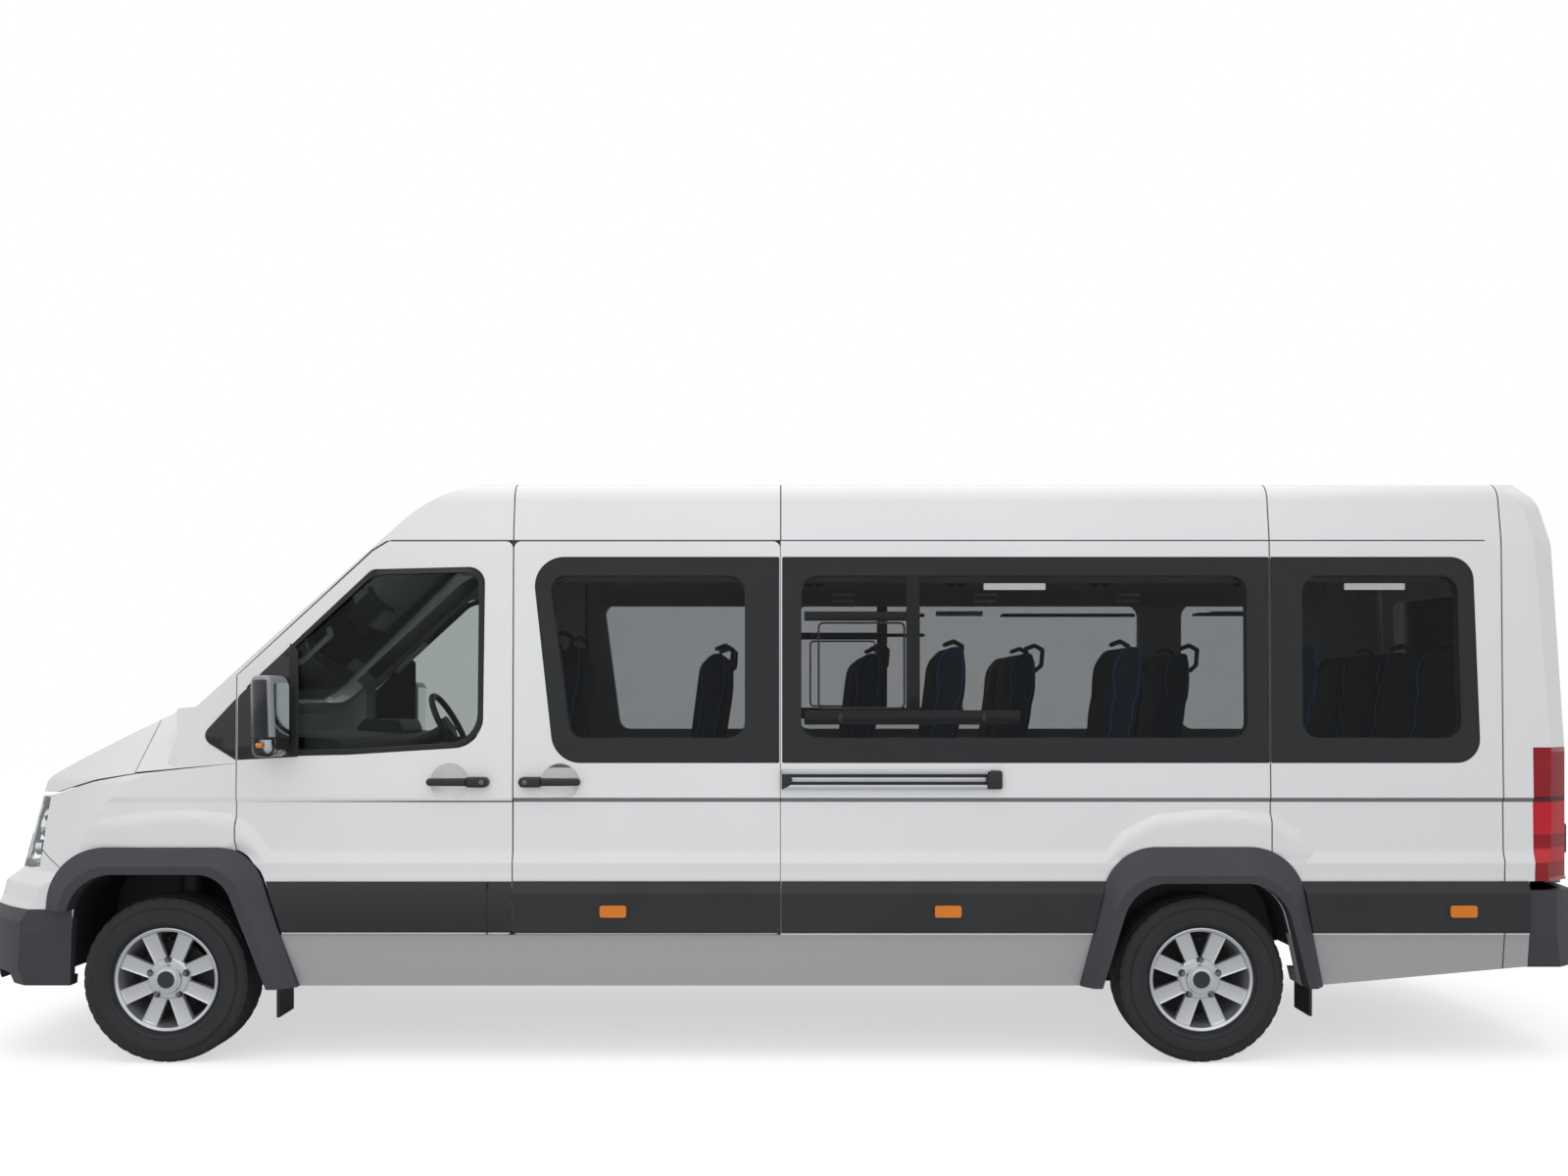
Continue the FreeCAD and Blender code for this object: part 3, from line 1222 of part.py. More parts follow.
def seat_places():
    """Seats: back-top x, centre y, top z, width."""
    window = HALF - 34 - WALL - SEAT_WIDTH / 2 - 12
    aisle = window - SEAT_WIDTH - 15
    places = [
        (FRONT_AXLE_X - 1590, -490, 1850, 480), (FRONT_AXLE_X - 1590, 490, 1850, 480),
    ]
    first = CAB_REAR_X - 870
    pitch = 765.0
    for row in range(4):
        x = first - row * pitch
        places += [(x, -aisle, 1800, SEAT_WIDTH), (x, -window, 1800, SEAT_WIDTH)]
    for row in range(3):
        places.append((first - 1070 - row * pitch, window, 1800, SEAT_WIDTH))
    last = REAR_AXLE_X - 1290
    for y in (-window, -window / 3, window / 3, window):
        places.append((last, y, 1800, SEAT_WIDTH))
    return places


def seat_cushion(x, y, top, width):
    """Cushion and back of one seat, two plain solids."""
    half = width / 2
    low = SEAT_BASE_Z
    foot = x + SEAT_LEAN
    back = side_prism([
        (foot + 30, low + 10, 30), (foot + 150, low + 10, 40),
        (x + 130, top - 60, 50), (x + 75, top, 40), (x, top, 40), (x, top - 200, 60),
    ], y - half, y + half)
    base = side_prism([
        (foot + 156, low, 20), (foot + 156, low + 110, 30),
        (x + 640, low + 125, 50), (x + 650, low, 40),
    ], y - half, y + half)
    return [back, base]


def seats():
    return [solid for place in seat_places() for solid in seat_cushion(*place)]


def seat_frames():
    """Pedestals from the floor to each seat."""
    frames = []
    for x, y, top, width in seat_places():
        high = SEAT_BASE_Z - SEAL_GAP
        pan = box(x + 190, x + 620, y - width / 2 + 20, y + width / 2 - 20, high - 20, high)
        carrier_end = x + SEAT_LEAN + 145
        carrier = box(carrier_end - 85, carrier_end, y - width / 2 + 20, y + width / 2 - 20,
                      high - 20, high + 10)
        legs = []
        for side in (-1, 1):
            leg_y = y + side * (width / 2 - 90)
            legs.append(box(x + 300, x + 360, leg_y - 15, leg_y + 15, FLOOR_Z + SEAL_GAP, high - 10))
        frame = fused([pan, carrier] + legs)
        frames.append(cut(frame, *pair(rear_housing(SEAL_GAP))))
    return frames


def ceiling_trim():
    """Air ducts with lamps along both sides under the roof."""
    region = box(REAR_DOOR_X + 230, CAB_REAR_X - 160, 640, FAR, GUTTER_Z - 165, GUTTER_Z - SEAL_GAP)
    duct = envelope(WALL + CANT_RAIL + SEAL_GAP).common(region)
    bevel = front_prism([(600, GUTTER_Z - 200, 0), (600, GUTTER_Z - 60, 0), (790, GUTTER_Z - 200, 0)],
                        REAR_DOOR_X, CAB_REAR_X)
    ducts = pair(largest(duct.cut(bevel)))
    return ducts


# ---- build ----
def build():
    save("roof_panel", roof_panel())
    save("side_panel_left", side_panel(True))
    save("side_panel_right", side_panel(False))
    save("cab_frame", cab_frame())
    save("front_wings", front_wings())
    save("front_fascia", front_fascia())
    save("front_bumper", front_bumper())
    save("front_grille", front_grille())
    save("headlamps", headlamps())
    save("windscreen", windscreen())
    save("wipers", wipers())
    save("sliding_door", sliding_door())
    save("sliding_door_handle", door_handle(SLIDE_HANDLE_X))
    save("side_windows_left", side_panes(True))
    save("side_windows_right", side_panes(False))
    save("rear_bumper", rear_bumper())
    save("tail_lamps", tail_lamps())
    save("arch_trims", arch_trims())
    save("side_mouldings", side_mouldings())
    save("mudflaps", mudflaps())
    save("marker_lamps", marker_lamps())
    save("sliding_door_rail", sliding_door_rail())
    save("floor_pan", floor_pan())
    save("wheel_liners", wheel_liners())
    save("chassis_frame", chassis_frame())
    save("engine_block", engine_block())
    save("front_subframe", front_subframe())
    save("rear_axle", rear_axle())
    save("rear_springs", rear_springs())
    save("propshaft", propshaft())
    save("exhaust_pipe", exhaust_pipe())
    save("fuel_tank", fuel_tank())
    save("dashboard", dashboard())
    save("seats", seats())
    save("seat_frames", seat_frames())
    save("ceiling_trim", ceiling_trim())
    save("bonnet", bonnet())
    save("steering_wheel", steering_wheel())
    for left, side in ((True, "left"), (False, "right")):
        save(f"cab_door_{side}", cab_door(left))
        save(f"cab_glass_{side}", cab_glass(left))
        save(f"cab_handle_{side}", cab_handle(left))
        save(f"mirror_{side}", mirror_unit(left))
        save(f"rear_door_{side}", rear_door(left))
        save(f"rear_glass_{side}", rear_glass(left))
        save(f"knuckle_{side}", knuckle(1 if left else -1))
    for name, axle_x, side in wheel_centres():
        save(f"tyre_{name}", tyre(axle_x, side))
        save(f"rim_{name}", rim(axle_x, side))


os.makedirs("parts", exist_ok=True)
build()
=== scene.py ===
import math

import bmesh
import bpy
from mathutils import Matrix, Vector
from mathutils.bvhtree import BVHTree


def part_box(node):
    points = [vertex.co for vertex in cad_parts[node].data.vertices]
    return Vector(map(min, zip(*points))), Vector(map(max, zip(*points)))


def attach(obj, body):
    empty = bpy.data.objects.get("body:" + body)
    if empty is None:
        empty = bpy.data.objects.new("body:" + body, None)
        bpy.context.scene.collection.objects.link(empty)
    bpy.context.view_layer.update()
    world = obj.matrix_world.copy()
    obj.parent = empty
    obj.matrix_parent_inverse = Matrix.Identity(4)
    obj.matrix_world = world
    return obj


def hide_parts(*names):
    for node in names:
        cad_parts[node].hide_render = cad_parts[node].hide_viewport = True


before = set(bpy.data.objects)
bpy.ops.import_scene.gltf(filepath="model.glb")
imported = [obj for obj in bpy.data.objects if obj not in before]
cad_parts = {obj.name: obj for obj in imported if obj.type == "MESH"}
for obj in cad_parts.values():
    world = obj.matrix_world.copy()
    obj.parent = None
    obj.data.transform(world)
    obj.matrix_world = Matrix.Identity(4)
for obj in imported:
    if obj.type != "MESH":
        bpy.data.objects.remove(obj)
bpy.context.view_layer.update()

# Metres: +X forward, +Y left, +Z up.
SIDES = (("left", 1), ("right", -1))
WHEEL_SIDES = {f"{end}_{label}": side for end in ("front", "rear") for label, side in SIDES}


# ---- where the frame's pieces are ----
def low(node):
    """The corner of a node's box with the smallest x, y and z."""
    return Vector(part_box(node)[0])


def high(node):
    """The corner with the largest."""
    return Vector(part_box(node)[1])


def middle(node):
    return (low(node) + high(node)) / 2


HALF_GAP = 0.0028         # half a panel gap
LENGTH_END = high("front_bumper").x
HALF_BODY = high("side_panel_left").y   # out to the side's widest point
BAND_LOW = low("cab_door_left").z - HALF_GAP
BAND_TOP = high("side_mouldings").z
CAB_REAR = low("cab_door_left").x - HALF_GAP
SLIDE_REAR = low("sliding_door").x - HALF_GAP
FRONT_AXLE = middle("tyre_front_left").x
REAR_AXLE = middle("tyre_rear_left").x
DOOR_FRONT = high("cab_door_left").x + HALF_GAP
REAR_SEAM = REAR_AXLE - 0.293
REAR_CORNER = -3.085      # joint of the side panel and the rear corner
GUTTER = high("side_panel_left").z
BAND_GLASS_LOW = low("side_windows_left").z
HALF_SEAM = 0.0026        # half a line of sealer
SIDE_LEAN = 0.0171        # the side leans in by 17 mm a metre over the sill
SKIN_DEPTH = 0.0245       # what lies deeper than this, from the widest point, is no outer skin
PRINT_DEPTH = 0.0035      # the floor of the glass's rebate lies within this of that depth
ARCH_FACE = HALF_BODY + 0.0025    # how far out the swellings over the wheels reach
SLOPE_WIDTH = 0.042       # the soft slope round a shoulder over a wheel
DOOR_EDGE = 0.0035        # new pieces stop this far from the middle of a door gap
TREAD_STEPS = 120         # faces round a tyre
SEAT_HALF = 0.215         # half the width that the seat's pads are drawn at
SEAT_VOXEL = 0.018
SEAT_FRAMES = 20          # how long the covers are left to swell


# ---- finishes ----
def linear(code):
    """An sRGB hex colour as linear red, green, blue and alpha."""
    parts = [int(code[i:i + 2], 16) / 255 for i in (1, 3, 5)]
    turned = [c / 12.92 if c <= 0.04045 else ((c + 0.055) / 1.055) ** 2.4 for c in parts]
    return (*turned, 1.0)


def add(tree, kind, values=None, links=None, **settings):
    """One shader node with its settings, its input values and the links into it."""
    node = tree.nodes.new("ShaderNode" + kind)
    for key, value in settings.items():
        setattr(node, key, value)
    for key, value in (values or {}).items():
        node.inputs[key].default_value = value
    for key, source in (links or {}).items():
        tree.links.new(source, node.inputs[key])
    return node


def finish(name, colour, other, roughness, grain_mm=0.0, relief_mm=0.0, metallic=0.0, ior=1.5,
           mottle_mm=300.0, wear=0.06):
    """A surface that drifts between two colours over mottle_mm, with a moulded or sprayed grain."""
    material = bpy.data.materials.new(name)
    material.use_nodes = True
    tree = material.node_tree
    shader = tree.nodes["Principled BSDF"]
    shader.inputs["Metallic"].default_value = metallic
    shader.inputs["IOR"].default_value = ior
    place = add(tree, "TexCoord").outputs["Object"]
    cloud = add(tree, "TexNoise", {"Scale": 1000 / mottle_mm, "Detail": 3.0}, {"Vector": place})
    tint = add(tree, "ValToRGB", None, {"Fac": cloud.outputs[0]})
    for stop, position, code in zip(tint.color_ramp.elements, (0.3, 0.75), (colour, other)):
        stop.position = position
        stop.color = linear(code)
    gloss = add(tree, "MapRange", {"To Min": max(roughness - wear / 2, 0), "To Max": roughness + wear},
                {"Value": cloud.outputs[0]})
    tree.links.new(tint.outputs["Color"], shader.inputs["Base Color"])
    tree.links.new(gloss.outputs["Result"], shader.inputs["Roughness"])
    if grain_mm:
        grain = add(tree, "TexNoise", {"Scale": 1000 / grain_mm, "Detail": 1.0}, {"Vector": place})
        bump = add(tree, "Bump", {"Strength": 1.0, "Distance": relief_mm / 1000},
                   {"Height": grain.outputs[0]})
        tree.links.new(bump.outputs["Normal"], shader.inputs["Normal"])
    return material


def maths(operation, first, *others):
    """One Math node on a socket and further sockets or numbers."""
    values, links = {}, {0: first}
    for index, other in enumerate(others, 1):
        (links if isinstance(other, bpy.types.NodeSocket) else values)[index] = other
    return add(first.id_data, "Math", values, links, operation=operation).outputs[0]


def below(source, limit):
    return maths("LESS_THAN", source, limit)


def above(source, limit):
    return maths("GREATER_THAN", source, limit)


def near(source, centre, half):
    return maths("COMPARE", source, centre, half)


def every(*masks):
    """1 where every mask is 1."""
    whole = masks[0]
    for mask in masks[1:]:
        whole = maths("MULTIPLY", whole, mask)
    return whole


def place_in(material):
    """Where on the object a point is, in metres."""
    return material.node_tree.nodes["Texture Coordinate"].outputs["Object"]


def normal_in(material):
    return add(material.node_tree, "NewGeometry").outputs["Normal"]


def axes_of(vector):
    """The x, y and z of a vector socket."""
    return add(vector.id_data, "SeparateXYZ", None, {0: vector}).outputs


def zone(mask, colour, roughness):
    """Where the mask is 1, the surface takes another colour and gloss. A Mix node numbers its inputs
    and results by kind: first is input A, the next is B."""
    tree = mask.id_data
    shader = tree.nodes["Principled BSDF"]
    for name, kind, value, first, out in (("Base Color", "RGBA", linear(colour), 6, 2),
                                          ("Roughness", "FLOAT", roughness, 2, 0)):
        under = shader.inputs[name].links[0].from_socket
        mix = add(tree, "Mix", links={0: mask, first: under}, data_type=kind)
        mix.inputs[first + 1].default_value = value
        tree.links.new(mix.outputs[out], shader.inputs[name])


def body_paint(name, seams=(), lining=True, sill=False, crease_shade=None):
    """White paint outside; the sill in silver, panel seams in dark sealer, door edges and a crease line
    darkened as painted shade, and the faces that look inward covered by the grey lining."""
    material = finish(name, "#F6F7F8", "#F2F3F4", 0.16, 11, 0.012, mottle_mm=900)
    x, y, z = axes_of(place_in(material))
    if sill:
        zone(below(z, BAND_LOW), "#B3B4B6", 0.32)
    if crease_shade:
        # painted shade: a dark grey line along the character line's crease, faded out towards its front end
        height, half, front, fade = crease_shade
        behind = add(material.node_tree, "MapRange",
                     {"From Min": front, "From Max": front - fade}, {"Value": x})
        zone(every(near(z, height, half), behind.outputs[0]), "#77797C", 0.3)
    for station in seams:
        zone(near(x, station, HALF_SEAM), "#2A2B2D", 0.6)
    if lining:
        _, turned, upward = axes_of(normal_in(material))
        across = maths("ABSOLUTE", y)
        facing = maths("MULTIPLY", turned, y)
        # how far out the edge of the skin is, which leans in as it rises; a face within is a jamb
        rise = maths("MAXIMUM", maths("SUBTRACT", z, BAND_GLASS_LOW), 0.0)
        surface = maths("MULTIPLY_ADD", rise, -SIDE_LEAN, HALF_BODY - SKIN_DEPTH)
        ahead = above(x, -3.1)
        under = below(z, GUTTER - 0.004)
        jamb = below(maths("ABSOLUTE", turned), 0.35)
        # painted shade: the jamb faces in the door gaps and openings darkened near black, so the gaps read
        # dark
        zone(every(below(across, surface), below(x, 2.24), ahead, under, jamb, above(z, BAND_LOW)),
             "#26282A", 0.5)
        # the black print round the side windows: the rebate 6 mm below the skin, behind their rims
        zone(every(below(maths("SUBTRACT", across, surface), PRINT_DEPTH), above(facing, 0.4),
                   above(z, BAND_GLASS_LOW - 0.02), below(x, CAB_REAR), ahead, under), "#76777A", 0.3)
        zone(below(facing, -0.4), "#A9ABAD", 0.75)
        zone(every(below(upward, -0.5), above(z, GUTTER)), "#B4B5B6", 0.9)
    return material


def wing_paint():
    """The same white, with the lips that face the front wheel darkened near black as painted shade inside
    the arch.
    """
    material = body_paint("white_wing_paint", lining=False)
    tree = material.node_tree
    flat = []
    for vector in (place_in(material), normal_in(material)):
        x, _, z = axes_of(vector)
        flat.append(add(tree, "CombineXYZ", None, {0: x, 1: z}).outputs[0])
    apart = add(tree, "VectorMath", {1: (*middle("tyre_front_left").xz, 0)}, {0: flat[0]},
                operation="SUBTRACT").outputs[0]
    facing = add(tree, "VectorMath", None, {0: apart, 1: flat[1]}, operation="DOT_PRODUCT")
    reach = add(tree, "VectorMath", None, {0: apart}, operation="LENGTH")
    # painted shade: faces near the front hub that look towards it, darkened near black
    zone(every(below(facing.outputs["Value"], -0.15), below(reach.outputs["Value"], 0.65)), "#202224", 0.7)
    return material


def tail_lens():
    """Moulded acrylic: dark ribbed red above, a clear red block with a smoked strip, red below."""
    material = finish("red_acrylic_lens", "#A30F20", "#9A0D1C", 0.12)
    tree = material.node_tree
    x, _, z = axes_of(place_in(material))
    for height, half, behind, colour in ((1.122, 0.010, 0.0, "#4E0A12"), (1.04, 0.068, 0.0, "#D31A2E"),
                                         (0.885, 0.03, 0.0, "#D31A2E"), (1.00, 0.11, -3.44, "#6F7478"),
                                         (1.075, 0.035, -3.44, "#B9BEC2")):
        zone(every(near(z, height, half), below(x, behind)), colour, 0.12)
    # ribs stand 17 mm apart
    ribs = add(tree, "TexWave", {"Scale": 1000 / 17 / 6.2832}, {"Vector": place_in(material)},
               bands_direction="Z", wave_profile="SAW")
    bump = add(tree, "Bump", {"Strength": 1.0, "Distance": 0.0012}, {"Height": ribs.outputs[1]})
    tree.links.new(bump.outputs["Normal"], tree.nodes["Principled BSDF"].inputs["Normal"])
    return material


# Two-pack white polyurethane sprayed over steel: even and glossy, with a faint orange peel.
white_paint = body_paint("white_polyurethane_paint", lining=False)
# the side and cab door paints carry a painted shade line along the character crease
side_paint = body_paint("white_side_panel_paint", seams=(REAR_SEAM, REAR_CORNER), sill=True,
                        crease_shade=(1.119, 0.009, CAB_REAR, 0.001))
door_paint = body_paint("white_cab_door_paint", sill=True, crease_shade=(1.112, 0.004, 2.3, 0.8))
roof_paint = body_paint("white_roof_paint", seams=(CAB_REAR, SLIDE_REAR, REAR_SEAM, REAR_CORNER))
front_paint = wing_paint()
# Injection-moulded ABS from a spark-eroded tool: near black, its fine grain softens every highlight.
black_abs = finish("black_grained_ABS", "#1A1C1E", "#222426", 0.42, 2.4, 0.05)
# Polypropylene coloured in the mass, with a coarser grain: charcoal, dull, paler where it weathers.
grey_pp = finish("charcoal_polypropylene", "#36383D", "#3D3F45", 0.55, 3, 0.08)
# Vulcanised rubber with carbon black: a deep grey that never quite shines.
tyre_rubber = finish("tyre_rubber", "#202224", "#292B2D", 0.68, 2, 0.05)
# Low-pressure cast aluminium under silver lacquer: bright metal with a broad, satin highlight.
rim_alloy = finish("cast_aluminium_lacquered", "#D2D4D7", "#C6C8CC", 0.3, metallic=0.75)
# Chassis black brushed over hot-rolled steel: uneven and half dull, with a cast-like skin.
steel_black = finish("black_chassis_paint", "#1B1C1E", "#26272A", 0.55, 5, 0.1)
# Moulded polypropylene trim: a flat light grey with a leather-like grain.
trim_grey = finish("grey_interior_plastic", "#8E9093", "#97999C", 0.6, 3, 0.05)
# The same trim in charcoal, and the floor's vinyl: dull, so that the cab reads as one dark room.
dark_trim = finish("dark_interior_plastic", "#2B2D30", "#323437", 0.6, 3, 0.06)
# Flat-woven wool blend over foam: a fine rib that swallows light.
cloth = finish("charcoal_seat_cloth", "#24282B", "#2C3033", 0.9, 3, 0.2)
red_lens = tail_lens()
# Acrylic coloured in the mass: a warm amber that glows a little at its polished edges.
amber_lens = finish("amber_acrylic_lens", "#E8801A", "#F08A20", 0.15)
# Glass-filled polyamide lamp body: smooth and black behind the reflectors.
lamp_black = finish("lamp_housing_black", "#2A2C30", "#2A2C30", 0.25)
# Extruded ABS, satin black: the rubbing band's long, straight, soft highlight.
band_abs = finish("satin_black_band_ABS", "#17191A", "#1D1F21", 0.38, 2.4, 0.04)
# Extruded and cured EPDM: the blackest line on the body, matt.
seal_rubber = finish("EPDM_seal_rubber", "#131415", "#1A1B1C", 0.6, mottle_mm=60)
# Cast acrylic, black and polished: corner panels that mirror like the glass beside them.
gloss_black = finish("gloss_black_acrylic", "#1E1F22", "#26272A", 0.12)
# Ceramic enamel fired into the glass: a flat charcoal under a hard gloss.
frit_black = finish("ceramic_frit_on_glass", "#1B1C1D", "#1F2021", 0.12, ior=1.3)
# Printed vinyl film, left blank: a pale strip that stands out from the glass.
notice_film = finish("blank_notice_film", "#C9C3C4", "#BFB9BA", 0.4)
# Extruded aluminium, etched and clear anodised: pale metal with a silky streak of light.
anodised = finish("clear_anodised_aluminium", "#C9CBCE", "#BDBFC3", 0.28, metallic=0.85)
# Brushed polyurethane sealer in a panel joint: a soft dark grey line.
seam_sealer = finish("dark_seam_sealer", "#4A4B4E", "#4A4B4E", 0.6)
# Cold-formed steel, zinc plated: small grey glints round the hub.
nut_steel = finish("zinc_plated_nut_steel", "#7E8084", "#6E7074", 0.35, metallic=0.9, mottle_mm=30)
# Painted ABS shell: mid grey and satin, lighter than the black base it stands on.
mirror_grey = finish("grey_mirror_shell_ABS", "#8F9295", "#999C9F", 0.35, 3, 0.03)
# Glass chromed on its back: it shows its surroundings sharply.
mirror_glass = finish("chromed_mirror_glass", "#DDE0E3", "#DDE0E3", 0.03, metallic=1.0, wear=0.01)
# Plastic bowl with aluminium evaporated on it: a bright, slightly soft mirror.
lamp_silver = finish("vacuum_aluminised_reflector", "#DADDE0", "#DADDE0", 0.14, metallic=1.0, wear=0.02)
# Opal acrylic over a strip of diodes: white and even, without a hot spot.
lamp_white = finish("opal_lamp_diffuser", "#E9ECEF", "#DDE0E3", 0.4)
# Pressed aluminium under retroreflective film, left blank: an off-white that looks faintly powdery.
blank_plate = finish("blank_reflective_plate", "#E8E9E6", "#E0E1DE", 0.35, mottle_mm=120)
# The same weave dyed navy: it turns blue only where light falls on it.
side_cloth = finish("seat_side_cloth", "#1D2A3F", "#24324A", 0.9, 3, 0.2)
# Vinyl welded round a cord: a thin, clear blue outline on each seat.
piping = finish("blue_piping_vinyl", "#1E4A8A", "#23539A", 0.4)
# Moulded ABS in the same blue: the shields over the seats' hinges, smoother than the cloth.
shield_blue = finish("blue_seat_shield_ABS", "#1E4A8A", "#234F92", 0.5, 3, 0.05)
# Thermoformed ABS: a pale, grained grey for the pillars and ducts.
pale_trim = finish("pale_moulded_trim", "#B9BBBD", "#C1C3C5", 0.55, 3, 0.05)


def glazing(name, tint, ior):
    """A clear sheet: its tint colours what lies behind, and its face mirrors more at a low angle."""
    tree = finish(name, "#F2F4F5", "#F2F4F5", 0.03, metallic=1.0, wear=0.01).node_tree
    behind = add(tree, "BsdfTransparent", {"Color": linear(tint)})
    facing = add(tree, "Fresnel", {"IOR": ior})
    both = add(tree, "MixShader", None, {0: facing.outputs[0], 1: behind.outputs[0],
                                         2: tree.nodes["Principled BSDF"].outputs[0]})
    tree.links.new(both.outputs[0], tree.nodes["Material Output"].inputs["Surface"])
    return bpy.data.materials[name]


# Toughened glass, grey in the mass: seats and far windows show through it, darkened.
tinted_glass = glazing("privacy_glass", "#D4D5D6", 1.2)
# Laminated glass with a trace of iron: a faint green over the cab.
clear_glass = glazing("green_tinted_glass", "#E0E3E2", 1.2)
# Hard-coated polycarbonate: nearly invisible, but for a bright rim at low angles.
lamp_cover = glazing("polycarbonate_lamp_cover", "#F6F7F8", 1.4)

DRESSES = (
    (roof_paint, "roof_panel"),
    (side_paint, "side_panel_left side_panel_right sliding_door"),
    (door_paint, "cab_door_left cab_door_right"),
    (front_paint, "front_wings front_fascia"),
    (white_paint, "cab_frame bonnet rear_door_left rear_door_right"),
    (tinted_glass, "side_windows_left side_windows_right rear_glass_left rear_glass_right"),
    (clear_glass, "windscreen cab_glass_left cab_glass_right"),
    (black_abs, "side_mouldings cab_handle_left cab_handle_right sliding_door_handle mirror_left "
                "mirror_right wipers mudflaps front_grille"),
    (grey_pp, "arch_trims front_bumper rear_bumper"),
    (steel_black, "chassis_frame engine_block front_subframe rear_axle rear_springs propshaft "
                  "exhaust_pipe fuel_tank knuckle_left knuckle_right wheel_liners"),
    (dark_trim, "dashboard steering_wheel seat_frames floor_pan"),
    (trim_grey, "ceiling_trim"),
    (cloth, "seats"),
    (red_lens, "tail_lamps"),
    (amber_lens, "marker_lamps"),
    (lamp_black, "headlamps"),
    (tyre_rubber, " ".join("tyre_" + name for name in WHEEL_SIDES)),
    (rim_alloy, "sliding_door_rail " + " ".join("rim_" + name for name in WHEEL_SIDES)))
for material, nodes in DRESSES:
    for node in nodes.split():
        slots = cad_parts[node].data.materials
        slots.clear()
        slots.append(material)


# ---- shaping ----
def face_out(bm):
    bmesh.ops.recalc_face_normals(bm, faces=bm.faces)


def shift(bm, vec, verts=None):
    bmesh.ops.translate(bm, vec=vec, verts=verts or bm.verts)


def resize(bm, vec, about=(0, 0, 0)):
    """Scales about a point; a mirrored mesh is turned right side out again."""
    bmesh.ops.scale(bm, vec=vec, space=Matrix.Translation(-Vector(about)), verts=bm.verts)
    if math.prod(vec) < 0:
        bmesh.ops.reverse_faces(bm, faces=bm.faces)


def swap_xy(bm):
    """Turns a mesh drawn crosswise to lie lengthwise."""
    for vert in bm.verts:
        vert.co.x, vert.co.y = vert.co.y, vert.co.x
    bmesh.ops.reverse_faces(bm, faces=bm.faces)
    return bm


def soften(bm, geom, offset, segments, affect="EDGES"):
    """Rounds edges, or the corners of an outline."""
    bmesh.ops.bevel(bm, geom=geom, offset=offset, segments=segments, profile=0.5, affect=affect,
                    material=-1)


def carried(bm, faces, vec=(0, 0, 0)):
    """The vertices of the faces' extruded copy, moved."""
    made = bmesh.ops.extrude_face_region(bm, geom=list(faces))["geom"]
    moved = [v for v in made if isinstance(v, bmesh.types.BMVert)]
    shift(bm, vec, moved)
    return moved


def cut_at(bm, at, away, dist=1e-6, **settings):
    """What bisecting the whole mesh with a plane gives."""
    return bmesh.ops.bisect_plane(bm, geom=[*bm.verts, *bm.edges, *bm.faces], dist=dist, plane_co=at,
                                  plane_no=away, **settings)


def mesh_of(bm, name="part"):
    """The bmesh as a mesh, and the bmesh freed."""
    mesh = bpy.data.meshes.new(name)
    bm.to_mesh(mesh)
    bm.free()
    return mesh


def opened(mesh):
    """A mesh as a bmesh."""
    bm = bmesh.new()
    bm.from_mesh(mesh)
    return bm


def stand(name, data):
    """An object in the scene."""
    made = bpy.data.objects.new(name, data)
    bpy.context.scene.collection.objects.link(made)
    return made


def rect(x0, x1, z0, z1, corner=0.0):
    """A rectangular outline."""
    return [(x0, z0, corner), (x0, z1, corner), (x1, z1, corner), (x1, z0, corner)]


def drawn_at(x0, z0, *corners):
    """An outline measured from (x0, z0)."""
    return [(x0 + x, z0 + z, corner) for x, z, corner in corners]


def outer_rim(bm, y):
    """The edges that lie in the plane at y."""
    return [e for e in bm.edges if all(abs(v.co.y - y) < 1e-6 for v in e.verts)]


def lathe(points, centre, steps=96, closed=True):
    """A chain of (radius, y) points turned about the crosswise axis through centre."""
    bm = bmesh.new()
    verts = [bm.verts.new((centre.x, centre.y + y, centre.z + r)) for r, y in points]
    edges = [bm.edges.new(pair) for pair in zip(verts, verts[1:])]
    if closed:
        edges.append(bm.edges.new((verts[-1], verts[0])))
    bmesh.ops.spin(bm, geom=verts + edges, cent=centre, axis=(0, 1, 0), angle=2 * math.pi,
                   steps=steps, use_merge=True)
    bmesh.ops.remove_doubles(bm, verts=bm.verts, dist=1e-6)
    face_out(bm)
    return bm


def block(x0, x1, y0, y1, z0, z1, rounding=0.0, segments=2):
    """A box with all its edges rounded."""
    bm = bmesh.new()
    bmesh.ops.create_cube(bm, size=1.0)
    resize(bm, (x1 - x0, y1 - y0, z1 - z0))
    shift(bm, ((x0 + x1) / 2, (y0 + y1) / 2, (z0 + z1) / 2))
    if rounding:
        soften(bm, list(bm.edges), rounding, segments)
    return bm


def plate(corners, y0, y1, rounding=0.0, segments=3):
    """An outline (x, z, corner) in a side view, carried from y0 out to y1; its outer rim rounded."""
    bm = bmesh.new()
    verts = [bm.verts.new((x, y0, z)) for x, z, _ in corners]
    bm.faces.new(verts)
    for vert, (_, _, corner) in zip(verts, corners):
        if corner:
            soften(bm, [vert], corner, 6, "VERTICES")
    carried(bm, bm.faces, (0, y1 - y0, 0))
    face_out(bm)
    if rounding:
        soften(bm, outer_rim(bm, y1), rounding, segments)
    return bm


def bar(start, end, radius, sides=16):
    """A round bar between two points."""
    start, end = Vector(start), Vector(end)
    bm = bmesh.new()
    bmesh.ops.create_cone(bm, cap_ends=True, segments=sides, radius1=radius, radius2=radius,
                          depth=(end - start).length)
    turn = (end - start).to_track_quat("Z", "Y").to_matrix().to_4x4()
    bmesh.ops.transform(bm, matrix=Matrix.Translation((start + end) / 2) @ turn, verts=bm.verts)
    return bm


def bent(points, radius, sides):
    """Round bars from point to point."""
    return [bar(start, end, radius, sides) for start, end in zip(points, points[1:])]


